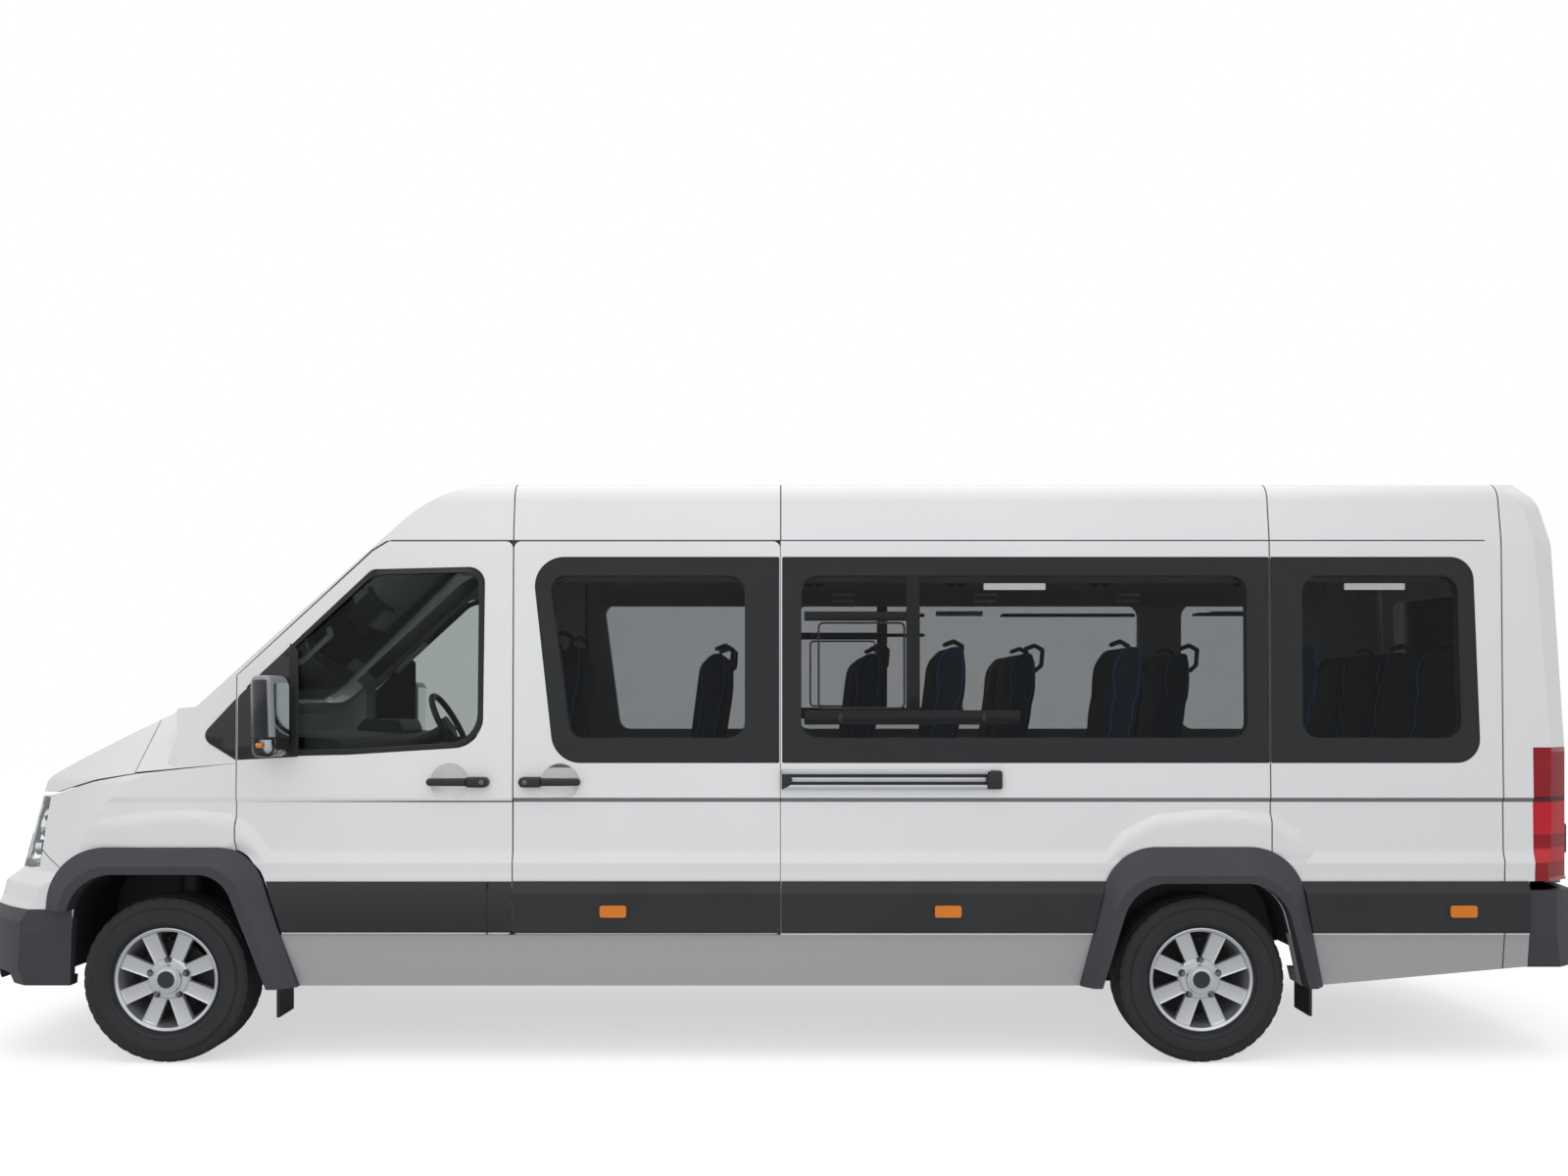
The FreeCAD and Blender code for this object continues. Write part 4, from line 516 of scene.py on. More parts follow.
def join(*parts):
    """Several meshes as one; a part given as (mesh, index) takes that material index."""
    whole = bmesh.new()
    for part in parts:
        if isinstance(part, tuple):
            part, index = part
            for face in part.faces:
                face.material_index = index
        mesh = mesh_of(part)
        whole.from_mesh(mesh)
        bpy.data.meshes.remove(mesh)
    return whole


def piece(name, bm, body, finishes, instead=(), side=1, sharp=32):
    """The finished mesh as an object that rides on a body; side -1 puts it on the right."""
    if side < 0:
        resize(bm, (1, -1, 1))
    mesh = mesh_of(bm, name)
    mesh.shade_smooth()
    mesh.set_sharp_from_angle(angle=math.radians(sharp))
    for material in finishes if isinstance(finishes, list) else [finishes]:
        mesh.materials.append(material)
    made = stand(name, mesh)
    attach(made, body)
    if instead:
        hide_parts(*instead)
    return made


def frame_copy(node):
    """A frame node's mesh with its loose triangles merged."""
    bm = opened(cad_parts[node].data)
    bmesh.ops.remove_doubles(bm, verts=bm.verts, dist=1e-5)
    return bm


def left_surface():
    """The outside of the left body side, for finding how far out it stands."""
    whole = join(*[frame_copy(n) for n in ("side_panel_left", "sliding_door", "cab_door_left",
                                           "front_wings", "side_windows_left", "cab_frame",
                                           "roof_panel", "front_fascia", "front_bumper")])
    tree = BVHTree.FromBMesh(whole)
    whole.free()
    return tree


SURFACE = left_surface()
PROBE = 0.007             # how far beside a gap its panels are felt for
INTO_GAP = 0.012          # a hit this much deeper than its surroundings is in a gap


def skin_hit(x, z):
    """Where a line square to the side meets it, or 0."""
    hit = SURFACE.ray_cast((x, 1.6, z), (0, -1, 0))[0]
    return hit.y if hit else 0.0


def side_y(x, z):
    """How far out the side stands; inside a panel gap, as far as the panels beside it."""
    here = skin_hit(x, z)
    around = max(skin_hit(x - PROBE, z), skin_hit(x + PROBE, z), skin_hit(x, z - PROBE),
                 skin_hit(x, z + PROBE))
    here = around if around - here > INTO_GAP else here
    return here if here > 0.5 else HALF_BODY - 0.02


def drape(bm, base, pitch=0.05):
    """A plate drawn at y = base is divided and laid on the body side, keeping its own relief."""
    spans = [(axis, sorted(v.co[axis] for v in bm.verts)) for axis in (0, 2)]
    for axis, places in spans:
        lowest, highest = places[0], places[-1]
        count = int((highest - lowest) / pitch)
        for index in range(1, count + 1):
            at, normal = [0.0, 0.0, 0.0], [0.0, 0.0, 0.0]
            at[axis] = lowest + index * (highest - lowest) / (count + 1)
            normal[axis] = 1.0
            cut_at(bm, at, normal)
    for vert in bm.verts:
        vert.co.y += side_y(vert.co.x, vert.co.z) - base
    return bm


# ---- wheels ----
def hub(name):
    """The centre of a wheel, drawn on the left."""
    centre = middle("rim_" + name)
    centre.y = abs(middle("tyre_" + name).y)
    return centre


def tread_step(spot):
    """Which of the tyre's 120 steps a point is in, from the hub."""
    return int(math.atan2(spot.z, spot.x) % (2 * math.pi) / (2 * math.pi) * TREAD_STEPS)


def tyre(name, side):
    """Radial with four ribs' grooves, a shoulder of cross-cut blocks and a stepped sidewall."""
    centre = middle("tyre_" + name)
    centre.y = abs(centre.y)
    radius = high("tyre_" + name).z - centre.z
    half = (high("tyre_" + name).y - low("tyre_" + name).y) / 2
    bead = 0.208
    chain = [(bead, half - 0.034), (bead + 0.022, half - 0.024), (bead + 0.03, half - 0.012),
             (bead + 0.042, half - 0.006), (bead + 0.046, half - 0.008), (bead + 0.078, half),
             (bead + 0.093, half - 0.001), (bead + 0.1, half - 0.009), (bead + 0.121, half - 0.011),
             (radius - 0.018, half - 0.013), (radius - 0.006, half - 0.02), (radius - 0.001, half - 0.034)]
    for groove in (0.062, 0.021):
        chain += [(radius, groove + 0.006), (radius - 0.008, groove + 0.004),
                  (radius - 0.008, groove - 0.004), (radius, groove - 0.006)]
    chain += [(r, -y) for r, y in reversed(chain)]
    bm = lathe(chain, centre, TREAD_STEPS)
    cuts = []
    for face in bm.faces:
        spot = face.calc_center_median() - centre
        if spot.xz.length > radius - 0.014 and abs(spot.y) > 0.07 and tread_step(spot) % 3 == 0:
            cuts.append(face)
    for vert in carried(bm, cuts):
        away = Vector((vert.co.x - centre.x, 0, vert.co.z - centre.z))
        vert.co -= away.normalized() * 0.0022
    bmesh.ops.delete(bm, geom=cuts, context="FACES_ONLY")
    piece("detailed_tyre_" + name, bm, "wheel_" + name, tyre_rubber, ("tyre_" + name,), side, 28)


def wheel(name, side):
    """Eight-spoke cast wheel: ribbed flat spokes in a deep barrel, five nuts and a bare cap."""
    centre = hub(name)
    lip = high("rim_" + name).z - middle("rim_" + name).z
    face_y = 0.076
    parts = [lathe([(lip, face_y + 0.018), (lip - 0.004, face_y + 0.02), (lip - 0.014, face_y + 0.014),
                    (lip - 0.019, face_y - 0.006), (lip - 0.028, face_y - 0.05), (lip - 0.034, -0.09),
                    (lip - 0.004, -0.096), (lip - 0.012, -0.08), (lip - 0.012, 0.078),
                    (lip, 0.086)], centre)]
    back = lathe([(0.031, 0.02), (0.07, 0.02), (0.09, 0.034), (0.092, face_y - 0.012),
                  (0.082, face_y - 0.002), (0.062, face_y), (0.058, face_y + 0.012),
                  (0.031, face_y + 0.013)], centre, 64)
    parts.append(back)
    for index in range(8):
        spoke = bmesh.new()
        bmesh.ops.create_cube(spoke, size=1.0)
        for vert in spoke.verts:
            outer = vert.co.z > 0
            half_width = 0.0335 if outer else 0.0285
            reach = lip - 0.016 if outer else 0.066
            front = face_y + (0.004 if outer else -0.004) if vert.co.y > 0 else face_y - 0.026
            vert.co = Vector((half_width * (1 if vert.co.x > 0 else -1), front, reach))
        face = max(spoke.faces, key=lambda f: f.calc_center_median().y)
        bmesh.ops.inset_individual(spoke, faces=[face], thickness=0.0065, depth=0.0)
        shift(spoke, (0, -0.005, 0), face.verts)
        soften(spoke, list(spoke.edges), 0.0014, 2)
        turn = Matrix.Rotation(math.radians(22.5 + 45 * index), 4, "Y")
        bmesh.ops.transform(spoke, matrix=Matrix.Translation(centre) @ turn, verts=spoke.verts)
        parts.append(spoke)
    for index in range(5):
        angle = math.radians(72 * index)
        at = centre + Vector((0.079 * math.sin(angle), face_y - 0.006, 0.079 * math.cos(angle)))
        socket = lathe([(0.0, -0.002), (0.016, -0.002), (0.016, 0.004), (0.0135, 0.005), (0.0, 0.005)],
                       at, 24, closed=False)
        parts += [(socket, 1), (bar(at, at + Vector((0, 0.017, 0)), 0.0105, 6), 2)]
    cap = lathe([(0.0, face_y + 0.016), (0.036, face_y + 0.016), (0.037, face_y + 0.02),
                 (0.048, face_y + 0.018), (0.051, face_y + 0.006), (0.0, face_y + 0.006)],
                centre, 64, closed=False)
    for face in cap.faces:
        spot = face.calc_center_median() - centre
        face.material_index = int(spot.xz.length < 0.036 and spot.y > face_y + 0.012)
    stem = bar(centre + Vector((0, 0.03, lip - 0.04)), centre + Vector((0, 0.062, lip - 0.052)), 0.0045, 10)
    parts += [cap, (stem, 1)]
    piece("cast_wheel_" + name, join(*parts), "wheel_" + name, [rim_alloy, lamp_black, nut_steel],
          ("rim_" + name,), side, 30)


for name, side in WHEEL_SIDES.items():
    tyre(name, side)
    wheel(name, side)


# ---- body sides ----
def slab(corners, x0, x1):
    """An outline (y, z, corner) in an end view, carried from x0 to x1."""
    return swap_xy(plate(corners, x0, x1))


def ring(corners, width, y0, y1, rounding=0.0):
    """A flat frame of even width inside an outline (x, z, corner)."""
    bm = plate(corners, y0, y1)
    ends = [f for f in bm.faces if abs(f.normal.y) > 0.99]
    for face in ends:
        bmesh.ops.inset_region(bm, faces=[face], thickness=width)
    bmesh.ops.bridge_loops(bm, edges=[e for f in ends for e in f.edges])
    bmesh.ops.delete(bm, geom=ends, context="FACES_ONLY")
    face_out(bm)
    if rounding:
        soften(bm, [e for e in outer_rim(bm, y1) if e.calc_face_angle(0) > 1], rounding, 2)
    return bm


def trim_off(bm, at, away, closed=True):
    """The mesh without what lies beyond a plane, closed again."""
    cut_at(bm, at, away, clear_outer=True)
    if closed:
        bmesh.ops.holes_fill(bm, edges=[e for e in bm.edges if e.is_boundary])
    return bm


def edge_distance(x, z, corners):
    """How far a point is inside an outline."""
    spot = Vector((x, z))
    nearest = 9.0
    for index, corner in enumerate(corners):
        start, end = Vector(corner[:2]), Vector(corners[index - 1][:2])
        along = min(max((spot - start).dot(end - start) / (end - start).length_squared, 0.0), 1.0)
        nearest = min(nearest, (spot - start - (end - start) * along).length)
    return nearest


def shoulder(axle, corners, door=None, fade_from=9.0, fade_to=10.0):
    """Swollen panel over a wheel, flush with the ridge below it, its upper edge a soft slope."""
    outline = drawn_at(axle, 0, *corners)
    bm = plate(outline, -0.004, 0.0)
    bmesh.ops.delete(bm, geom=[f for f in bm.faces if f.calc_center_median().y < -0.001], context="FACES")
    if door:
        trim_off(bm, (door[0], 0, 0), (door[1], 0, 0), closed=False)
    bmesh.ops.delete(bm, geom=[v for v in bm.verts if not v.link_faces], context="VERTS")
    drape(bm, 0.0, 0.018)
    bmesh.ops.triangulate(bm, faces=bm.faces)
    for vert in bm.verts:
        skin_y = side_y(vert.co.x, vert.co.z)
        inside = min(edge_distance(vert.co.x, vert.co.z, outline) / SLOPE_WIDTH, 1.0)
        swell = inside * inside * (3 - 2 * inside)
        share = min(max((fade_to - vert.co.x) / (fade_to - fade_from), 0.0), 1.0)
        vert.co.y = skin_y - 0.001 + swell * share * (max(ARCH_FACE - skin_y, 0.0) + 0.001)
    carried(bm, bm.faces, (0, -0.004, 0))
    face_out(bm)
    return bm


FRONT_SHOULDER = [
    (-0.347, 0.886, 0), (-0.304, 0.910, 0), (-0.266, 0.885, 0), (0.354, 0.885, 0), (0.424, 0.95, 0),
    (0.334, 1.04, 0.05), (-0.036, 1.09, 0.2), (-0.286, 1.064, 0.1), (-0.380, 1.0, 0.05),
    (-0.446, 0.905, 0.02), (-0.410, 0.815, 0)]
REAR_SHOULDER = [
    (-0.485, 0.901, 0.02), (-0.431, 0.835, 0), (-0.346, 0.86, 0), (0.344, 0.86, 0),
    (0.409, 0.835, 0), (0.420, 0.892, 0.02), (0.344, 0.99, 0.05), (0.204, 1.062, 0.08),
    (-0.073, 1.09, 0.2), (-0.306, 1.065, 0.1), (-0.431, 0.985, 0.05)]


def shoulders(side, label):
    """The front swelling is parted by the cab door's edge and fades out ahead of the axle."""
    for name, body, way in (("wing", "body", -1), ("door", "cab_door_" + label, 1)):
        swelling = shoulder(FRONT_AXLE, FRONT_SHOULDER, (DOOR_FRONT - way * DOOR_EDGE, way),
                            FRONT_AXLE + 0.10, FRONT_AXLE + 0.34)
        piece(f"{name}_shoulder_{label}", swelling, body, white_paint, side=side)
    piece("rear_shoulder_" + label, shoulder(REAR_AXLE, REAR_SHOULDER), "body", side_paint, side=side)


def door_band(side, label):
    """The rubbing band where it crosses the cab door, mitred to the arch moulding."""
    inner = HALF_BODY - 0.03
    profile = [(inner, BAND_LOW + 0.004, 0), (HALF_BODY + 0.014, BAND_LOW + 0.014, 0.006),
               (HALF_BODY + 0.016, BAND_TOP - 0.05, 0), (HALF_BODY + 0.002, BAND_TOP - 0.001, 0.003),
               (inner, BAND_TOP - 0.001, 0)]
    bm = slab(profile, CAB_REAR + 0.004, FRONT_AXLE - 0.3)
    # cut to the arch moulding's outer edge, which leans forward as it rises
    trim_off(bm, (FRONT_AXLE - 0.584 - 0.013, 0, BAND_LOW - 0.28), (0.95, 0, -0.312))
    piece("door_band_" + label, bm, "cab_door_" + label, band_abs, side=side)
    seam = block(CAB_REAR + 0.1035, CAB_REAR + 0.1065, HALF_BODY - 0.01, HALF_BODY + 0.0168,
                 BAND_LOW + 0.006, BAND_TOP - 0.002)
    piece("door_band_seam_" + label, seam, "cab_door_" + label, seal_rubber, side=side)


def cab_window(side, label):
    """Rubber surround of the drop glass, its front guide bar and the blank corner panel."""
    pane = drawn_at(CAB_REAR, 0, (0.119, 2.113, 0.09), (0.603, 2.101, 0.05), (0.972, 1.762, 0.02),
                    (0.972, 1.304, 0.015), (0.700, 1.310, 0), (0.127, 1.344, 0.14))
    seal = drape(ring(pane, 0.026, 0.0, 0.012, 0.003), 0.014, 0.08)
    corner = drawn_at(DOOR_FRONT, 0, (-DOOR_EDGE, 1.287, 0), (-DOOR_EDGE, 1.556, 0.012),
                      (-0.232, 1.782, 0.004), (-0.252, 1.74, 0), (-0.252, 1.300, 0))
    panel = drape(plate(corner, 0.0, 0.011, 0.003), 0.010, 0.08)
    post = drawn_at(DOOR_FRONT, 0, (-0.262, 1.302, 0), (-0.262, 1.752, 0), (-0.226, 1.786, 0),
                    (-0.226, 1.302, 0))
    guide = drape(plate(post, 0.0, 0.012, 0.004), 0.007, 0.08)
    piece("cab_window_surround_" + label, join(seal, guide, (panel, 1)), "cab_door_" + label,
          [seal_rubber, gloss_black], side=side)
    tip = drawn_at(DOOR_FRONT, 0, (DOOR_EDGE, 1.289, 0), (DOOR_EDGE, 1.548, 0), (0.136, 1.405, 0.02),
                   (0.128, 1.366, 0.02))
    piece("wing_corner_panel_" + label, drape(plate(tip, 0.0, 0.008, 0.002), 0.004, 0.06), "body",
          gloss_black, side=side)


def side_window_details(side, label):
    """The middle window's sliding vent in its frame, the rail below it and two catches; blank
    notice strips on the middle and rear panes."""
    vent = rect(SLIDE_REAR - 0.157, SLIDE_REAR - 0.530, 1.504, 1.876, 0.025)
    parts = [drape(ring(vent, 0.009, 0.0, 0.004, 0.001), 0.001, 0.2)]
    for x0, x1, z0, z1, depth in ((0.534, 0.592, 1.44, 2.07, 0.0016), (0.10, 1.02, 1.438, 1.500, 0.0022),
                                  (0.10, 0.534, 1.88, 1.92, 0.0012)):
        strip = plate(rect(SLIDE_REAR - x0, SLIDE_REAR - x1, z0, z1), 0.0, depth + 0.001, 0.0008)
        parts.append((drape(strip, 0.001, 0.2), 1))
    for x in (0.254, 0.864):
        catch = drawn_at(SLIDE_REAR - x, 0, (-0.011, 1.452, 0.006), (-0.005, 1.486, 0.004),
                         (0.005, 1.486, 0.004), (0.011, 1.452, 0.006))
        parts.append((drape(plate(catch, 0.0, 0.009, 0.002), 0.0, 0.2), 2))
    for x0, x1 in ((SLIDE_REAR - 0.864, SLIDE_REAR - 1.127), (REAR_SEAM - 0.318, REAR_SEAM - 0.576)):
        strip = plate(rect(x0, x1, 2.012, 2.040, 0.003), 0.0, 0.0012)
        parts.append((drape(strip, 0.0005, 0.2), 3))
    piece("side_window_details_" + label, join(*parts), "body",
          [seal_rubber, frit_black, gloss_black, notice_film], side=side)


def door_handle(name, body, side, flip=False):
    """Pull handle: a slim grip that swells into the lock cap, on two feet over the finger cup."""
    start, end = low(name), high(name)
    x0, x1 = start.x, end.x
    z = (start.z + end.z) / 2
    face = min(abs(start.y), abs(end.y)) + 0.027
    split = x0 + 0.36 * (x1 - x0)
    grip = plate([(split - 0.004, z - 0.017, 0.004), (split - 0.004, z + 0.017, 0.004),
                  (x1, z + 0.016, 0.015), (x1, z - 0.016, 0.015)], face - 0.002, face + 0.014, 0.007, 4)
    cap = plate([(x0, z - 0.023, 0.021), (x0, z + 0.021, 0.021), (split, z + 0.021, 0.008),
                 (split, z - 0.023, 0.008)], face - 0.026, face + 0.0155, 0.008, 4)
    foot = plate(drawn_at(x1, z, (-0.058, -0.014, 0.01), (-0.058, 0.014, 0.01), (-0.008, 0.013, 0.01),
                          (-0.008, -0.013, 0.01)), face - 0.026, face, 0.003)
    barrel = lathe([(0.0, 0.0165), (0.0075, 0.0165), (0.0095, 0.0155), (0.0095, 0.012), (0.0, 0.012)],
                   Vector((x0 + 0.028, face, z - 0.001)), 28, closed=False)
    keyhole = block(x0 + 0.0265, x0 + 0.0295, face + 0.016, face + 0.0172, z - 0.005, z + 0.003)
    whole = join(grip, cap, foot, (barrel, 1), (keyhole, 2))
    if flip:
        resize(whole, (-1, 1, 1), ((x0 + x1) / 2, 0, 0))
    piece("moulded_" + name, whole, body, [black_abs, nut_steel, seal_rubber], (name,), side)


def door_rail():
    """Extruded channel of the sliding door, open mouth at the front and a moulded end stop."""
    (x0, _, z0), (x1, face, z1) = low("sliding_door_rail"), high("sliding_door_rail")
    parts = []
    for low_z, high_z, back, front in ((z0, z1, 0.034, 0.022), (z1 - 0.019, z1, 0.034, 0.0),
                                       (z0, z0 + 0.021, 0.034, 0.002),
                                       (z0 + 0.033, z0 + 0.052, 0.034, 0.014)):
        parts.append(block(x0 + 0.05, x1 - 0.002, face - back, face - front, low_z, high_z, 0.0025))
    for low_z, high_z in ((z0 + 0.021, z0 + 0.033), (z0 + 0.052, z1 - 0.019)):
        parts.append((block(x0 + 0.05, x1 - 0.003, face - 0.024, face - 0.0205, low_z, high_z), 1))
    stop = plate([(x0, z0 + 0.002, 0.01), (x0, z1 - 0.004, 0.012), (x0 + 0.066, z1 - 0.002, 0.003),
                  (x0 + 0.066, z0 + 0.002, 0.003)], face - 0.034, face, 0.005)
    mouth = plate([(x1 - 0.034, z0 + 0.016, 0), (x1 - 0.001, z0, 0), (x1 - 0.001, z1, 0),
                   (x1 - 0.034, z1 - 0.016, 0), (x1 - 0.045, (z0 + z1) / 2, 0)],
                  face - 0.034, face - 0.0005, 0.002)
    parts += [(stop, 1), (mouth, 1)]
    piece("extruded_door_rail", join(*parts), "body", [anodised, black_abs], ("sliding_door_rail",))


def gutter_line(side, label):
    """Dark sealed joint between the roof pressing and the side, above the doors' top edge."""
    x0, x1 = low("side_panel_left").x + 0.16, FRONT_AXLE - 0.95
    strip = drape(plate(rect(x0, x1, GUTTER - 0.0015, GUTTER + 0.0035), 0.0, 0.0018), 0.001, 0.25)
    for vert in strip.verts:
        vert.co.y = max(vert.co.y, HALF_BODY - 0.08)
    piece("roof_joint_" + label, strip, "body", seam_sealer, side=side)


for label, side in SIDES:
    shoulders(side, label)
    door_band(side, label)
    cab_window(side, label)
    side_window_details(side, label)
    door_handle("cab_handle_" + label, "cab_door_" + label, side)
    gutter_line(side, label)
door_handle("sliding_door_handle", "body", 1, flip=True)
door_rail()


# ---- mirrors and lamps ----
def turned_forward(points, centre, steps=48):
    """A chain of (radius, x) points turned about the lengthwise axis through centre."""
    bm = swap_xy(lathe(points, Vector((0, 0, 0)), steps, closed=False))
    shift(bm, centre)
    return bm


def mirror(side, label):
    """Two-tone housing with a clear indicator below, glass in a bezel, arm and foot."""
    start, end = low("mirror_left"), high("mirror_left")
    x0, x1 = start.x + 0.002, start.x + 0.126
    y0, y1 = end.y - 0.240, end.y - 0.002
    z0, z1 = start.z, end.z
    cut = z0 + 0.083

    def shell(shrink, *cuts):
        """Rounded housing, narrower ahead and drawn in at its lower outer corner, then cut level."""
        bm = block(x0 + shrink, x1 - shrink, y0 + shrink, y1 - shrink, z0 + shrink, z1 - shrink, 0.036, 6)
        for vert in bm.verts:
            ahead = (vert.co.x - x0) / (x1 - x0)
            out = (vert.co.y - y0) / (y1 - y0)
            drop = (z1 - vert.co.z) / (z1 - z0)
            vert.co.y -= out * (y1 - y0) * (0.30 * ahead * ahead + 0.16 * drop * drop)
            vert.co.x -= 0.012 * ahead * (1 - drop)
        for height, away in cuts:
            trim_off(bm, (0, 0, cut + height), (0, 0, away))
        return bm

    upper = shell(0.0, (0.0015, -1))
    upper.normal_update()
    for face in upper.faces:
        spot = face.calc_center_median()
        # the outer cheek is glossy black, its front and rear borders grey
        cheek = face.normal.y > 0.3 and x0 + 0.014 < spot.x < x1 - 0.02 and spot.z < z1 - 0.02
        face.material_index = 1 if cheek else 0
    lens = (shell(0.0, (-0.0015, 1)), 2)
    back = (shell(0.012, (-0.01, 1)), 3)
    bulb = (bar((x0 + 0.045, y1 - 0.045, z0 + 0.05), (x1 - 0.05, y1 - 0.06, z0 + 0.05), 0.011, 24), 4)
    joint = (shell(0.002, (0.003, 1), (-0.003, -1)), 5)
    glass = slab([(y0 + 0.022, z0 + 0.030, 0.02), (y0 + 0.022, z1 - 0.03, 0.02),
                  (y1 - 0.034, z1 - 0.03, 0.025), (y1 - 0.062, z0 + 0.030, 0.02)], x0 + 0.004, x0 - 0.001)
    face_out(glass)
    arm_z = z0 + 0.058
    arms = [(bar((x1 - 0.03, HALF_BODY - 0.045, arm_z + dz), (x1 - 0.035, y0 + 0.03, arm_z + dz), 0.016), 5)
            for dz in (-0.012, 0.012)]
    foot = (plate([(x0 + 0.045, z0 + 0.012, 0.02), (x0 + 0.045, z0 + 0.13, 0.03),
                   (x0 + 0.115, z0 + 0.13, 0.03), (x0 + 0.185, z0 + 0.012, 0.02)],
                  HALF_BODY - 0.06, HALF_BODY + 0.004, 0.012), 5)
    piece("door_mirror_" + label, join(upper, lens, back, bulb, joint, (glass, 6), *arms, foot),
          "cab_door_" + label, [mirror_grey, gloss_black, lamp_cover, lamp_silver, amber_lens, black_abs,
                                mirror_glass], ("mirror_" + label,), side, 36)


def headlamps():
    """Clear covers over dark bezels with two reflector bowls each and an amber corner."""
    piece("headlamp_covers", frame_copy("headlamps"), "body", lamp_cover, ("headlamps",), sharp=30)
    bezel = frame_copy("headlamps")
    surface = BVHTree.FromBMesh(bezel)
    for vert in bezel.verts:
        vert.co.x -= 0.078
        vert.co.y -= math.copysign(0.03, vert.co.y)
    start, end = low("headlamps"), high("headlamps")
    trim_off(bezel, (start.x + 0.01, 0, 0), (-1, 0, 0))
    z = (start.z + end.z) / 2 + 0.02
    parts = [(bezel, 0)]
    for side in (1, -1):
        for y, dz, radius in ((0.632, 0.02, 0.054), (0.732, 0.0, 0.046), (0.692, -0.095, 0.03)):
            front = surface.ray_cast((end.x + 1, side * y, z + dz), (-1, 0, 0))[0]
            at = front - Vector((0.045, 0, 0))
            bowl = [(0.0, -0.042), (radius * 0.35, -0.038), (radius * 0.8, -0.014), (radius, 0.008),
                    (radius + 0.004, 0.008), (radius + 0.004, -0.02), (0.0, -0.046)]
            lens = [(0.0, 0.0), (radius * 0.3, -0.004), (radius * 0.42, -0.014), (radius * 0.42, -0.03),
                    (0.0, -0.03)]
            for chain, index in ((bowl, 1), (lens, 3 if radius < 0.04 else 2)):
                turned = turned_forward(chain, at)
                face_out(turned)
                parts.append((turned, index))
    piece("headlamp_insides", join(*parts), "body",
          [lamp_black, lamp_silver, mirror_glass, amber_lens], sharp=30)


for label, side in SIDES:
    mirror(side, label)
headlamps()


# ---- front and rear ----
def number_plate(name, body, x, z, outward, centre_y=0.0):
    """Blank plate with a rounded edge, in a black carrier with two screws."""

    def out(step):
        return x + outward * step

    carrier = slab(rect(-0.27, 0.27, z - 0.065, z + 0.065, 0.01), out(-0.012), out(0.003))
    face = slab(rect(-0.26, 0.26, z - 0.055, z + 0.055, 0.008), out(0.002), out(0.0055))
    screws = [(bar((out(0.004), y, z), (out(0.0075), y, z), 0.006, 12), 1) for y in (-0.2, 0.2)]
    whole = join((carrier, 1), face, *screws)
    shift(whole, (0, centre_y, 0))
    face_out(whole)
    piece(name, whole, body, [blank_plate, black_abs])


def grille_bars():
    """Satin bars across the openings, each a little further back than the one below."""
    bars = []
    for row in range(4):
        front, z = high("front_grille").x - 0.22 - 0.012 * row, 0.862 + 0.0615 * row
        bars.append(block(front - 0.015, front, -0.5, 0.5, z, z + 0.008, 0.002))
    piece("grille_slats", join(*bars), "body", anodised)


def rear_end(side, label):
    """The hinges of a rear door; the tail leans forward over the waist."""
    edge, tail = high("rear_door_left").y + 0.012, low("rear_door_left").x
    for number, z in enumerate((0.93, 1.45, 2.06), 1):
        x = tail + 0.115 + max(z - 1.3, 0) * 0.065
        knuckle = bar((x, edge, z - 0.045), (x, edge, z + 0.045), 0.011, 20)
        piece(f"rear_hinge_{number}_{label}", knuckle, "rear_door_" + label, black_abs, side=side)


def rear_furniture():
    """The pull handle in its cup, the brake lamp over the doors and the blank plate."""
    tail, top = low("rear_door_left").x, high("rear_door_left").z
    cup = block(tail - 0.002, tail + 0.022, 0.03, 0.21, 1.04, 1.13, 0.012, 3)
    grip = block(tail - 0.010, tail + 0.006, 0.045, 0.195, 1.085, 1.108, 0.006, 3)
    piece("rear_door_handle", join(cup, (grip, 1)), "rear_door_left", [black_abs, gloss_black])
    brake = block(tail + 0.098, tail + 0.135, -0.19, 0.19, top + 0.035, top + 0.062, 0.006, 3)
    piece("high_brake_lamp", brake, "body", red_lens)
    number_plate("rear_number_plate", "rear_door_left", tail + 0.003, 0.93, -1, 0.43)


def intake_grid():
    """Black moulded grid behind the opening in the bumper."""
    back = LENGTH_END - 0.075
    bars = [block(back, back + 0.012, -0.46, 0.46, z - 0.004, z + 0.004, 0.001)
            for z in (0.44, 0.475, 0.51, 0.545)]
    panel = block(back - 0.006, back, -0.47, 0.47, 0.40, 0.58, 0.002)
    piece("intake_grid", join(panel, *bars), "body", black_abs)


def cowl_corner(side, label):
    """Painted corner that runs from the bonnet's shoulder into the windscreen pillar."""
    bm = bmesh.new()
    for x, y, z in ((2.602, 0.951, 1.262), (2.595, 0.886, 1.35), (2.588, 0.812, 1.452),
                    (2.46, 0.9655, 1.262), (2.46, 0.9655, 1.35), (2.46, 0.963, 1.452), (2.455, 0.945, 1.507),
                    (2.50, 0.80, 1.503), (2.46, 0.80, 1.30), (2.46, 0.78, 1.45)):
        bm.verts.new((x, y, z))
    bmesh.ops.convex_hull(bm, input=bm.verts)
    bmesh.ops.dissolve_limit(bm, angle_limit=math.radians(4), verts=bm.verts, edges=bm.edges)
    soften(bm, list(bm.edges), 0.006, 3)
    face_out(bm)
    piece("cowl_corner_" + label, bm, "body", white_paint, side=side, sharp=50)


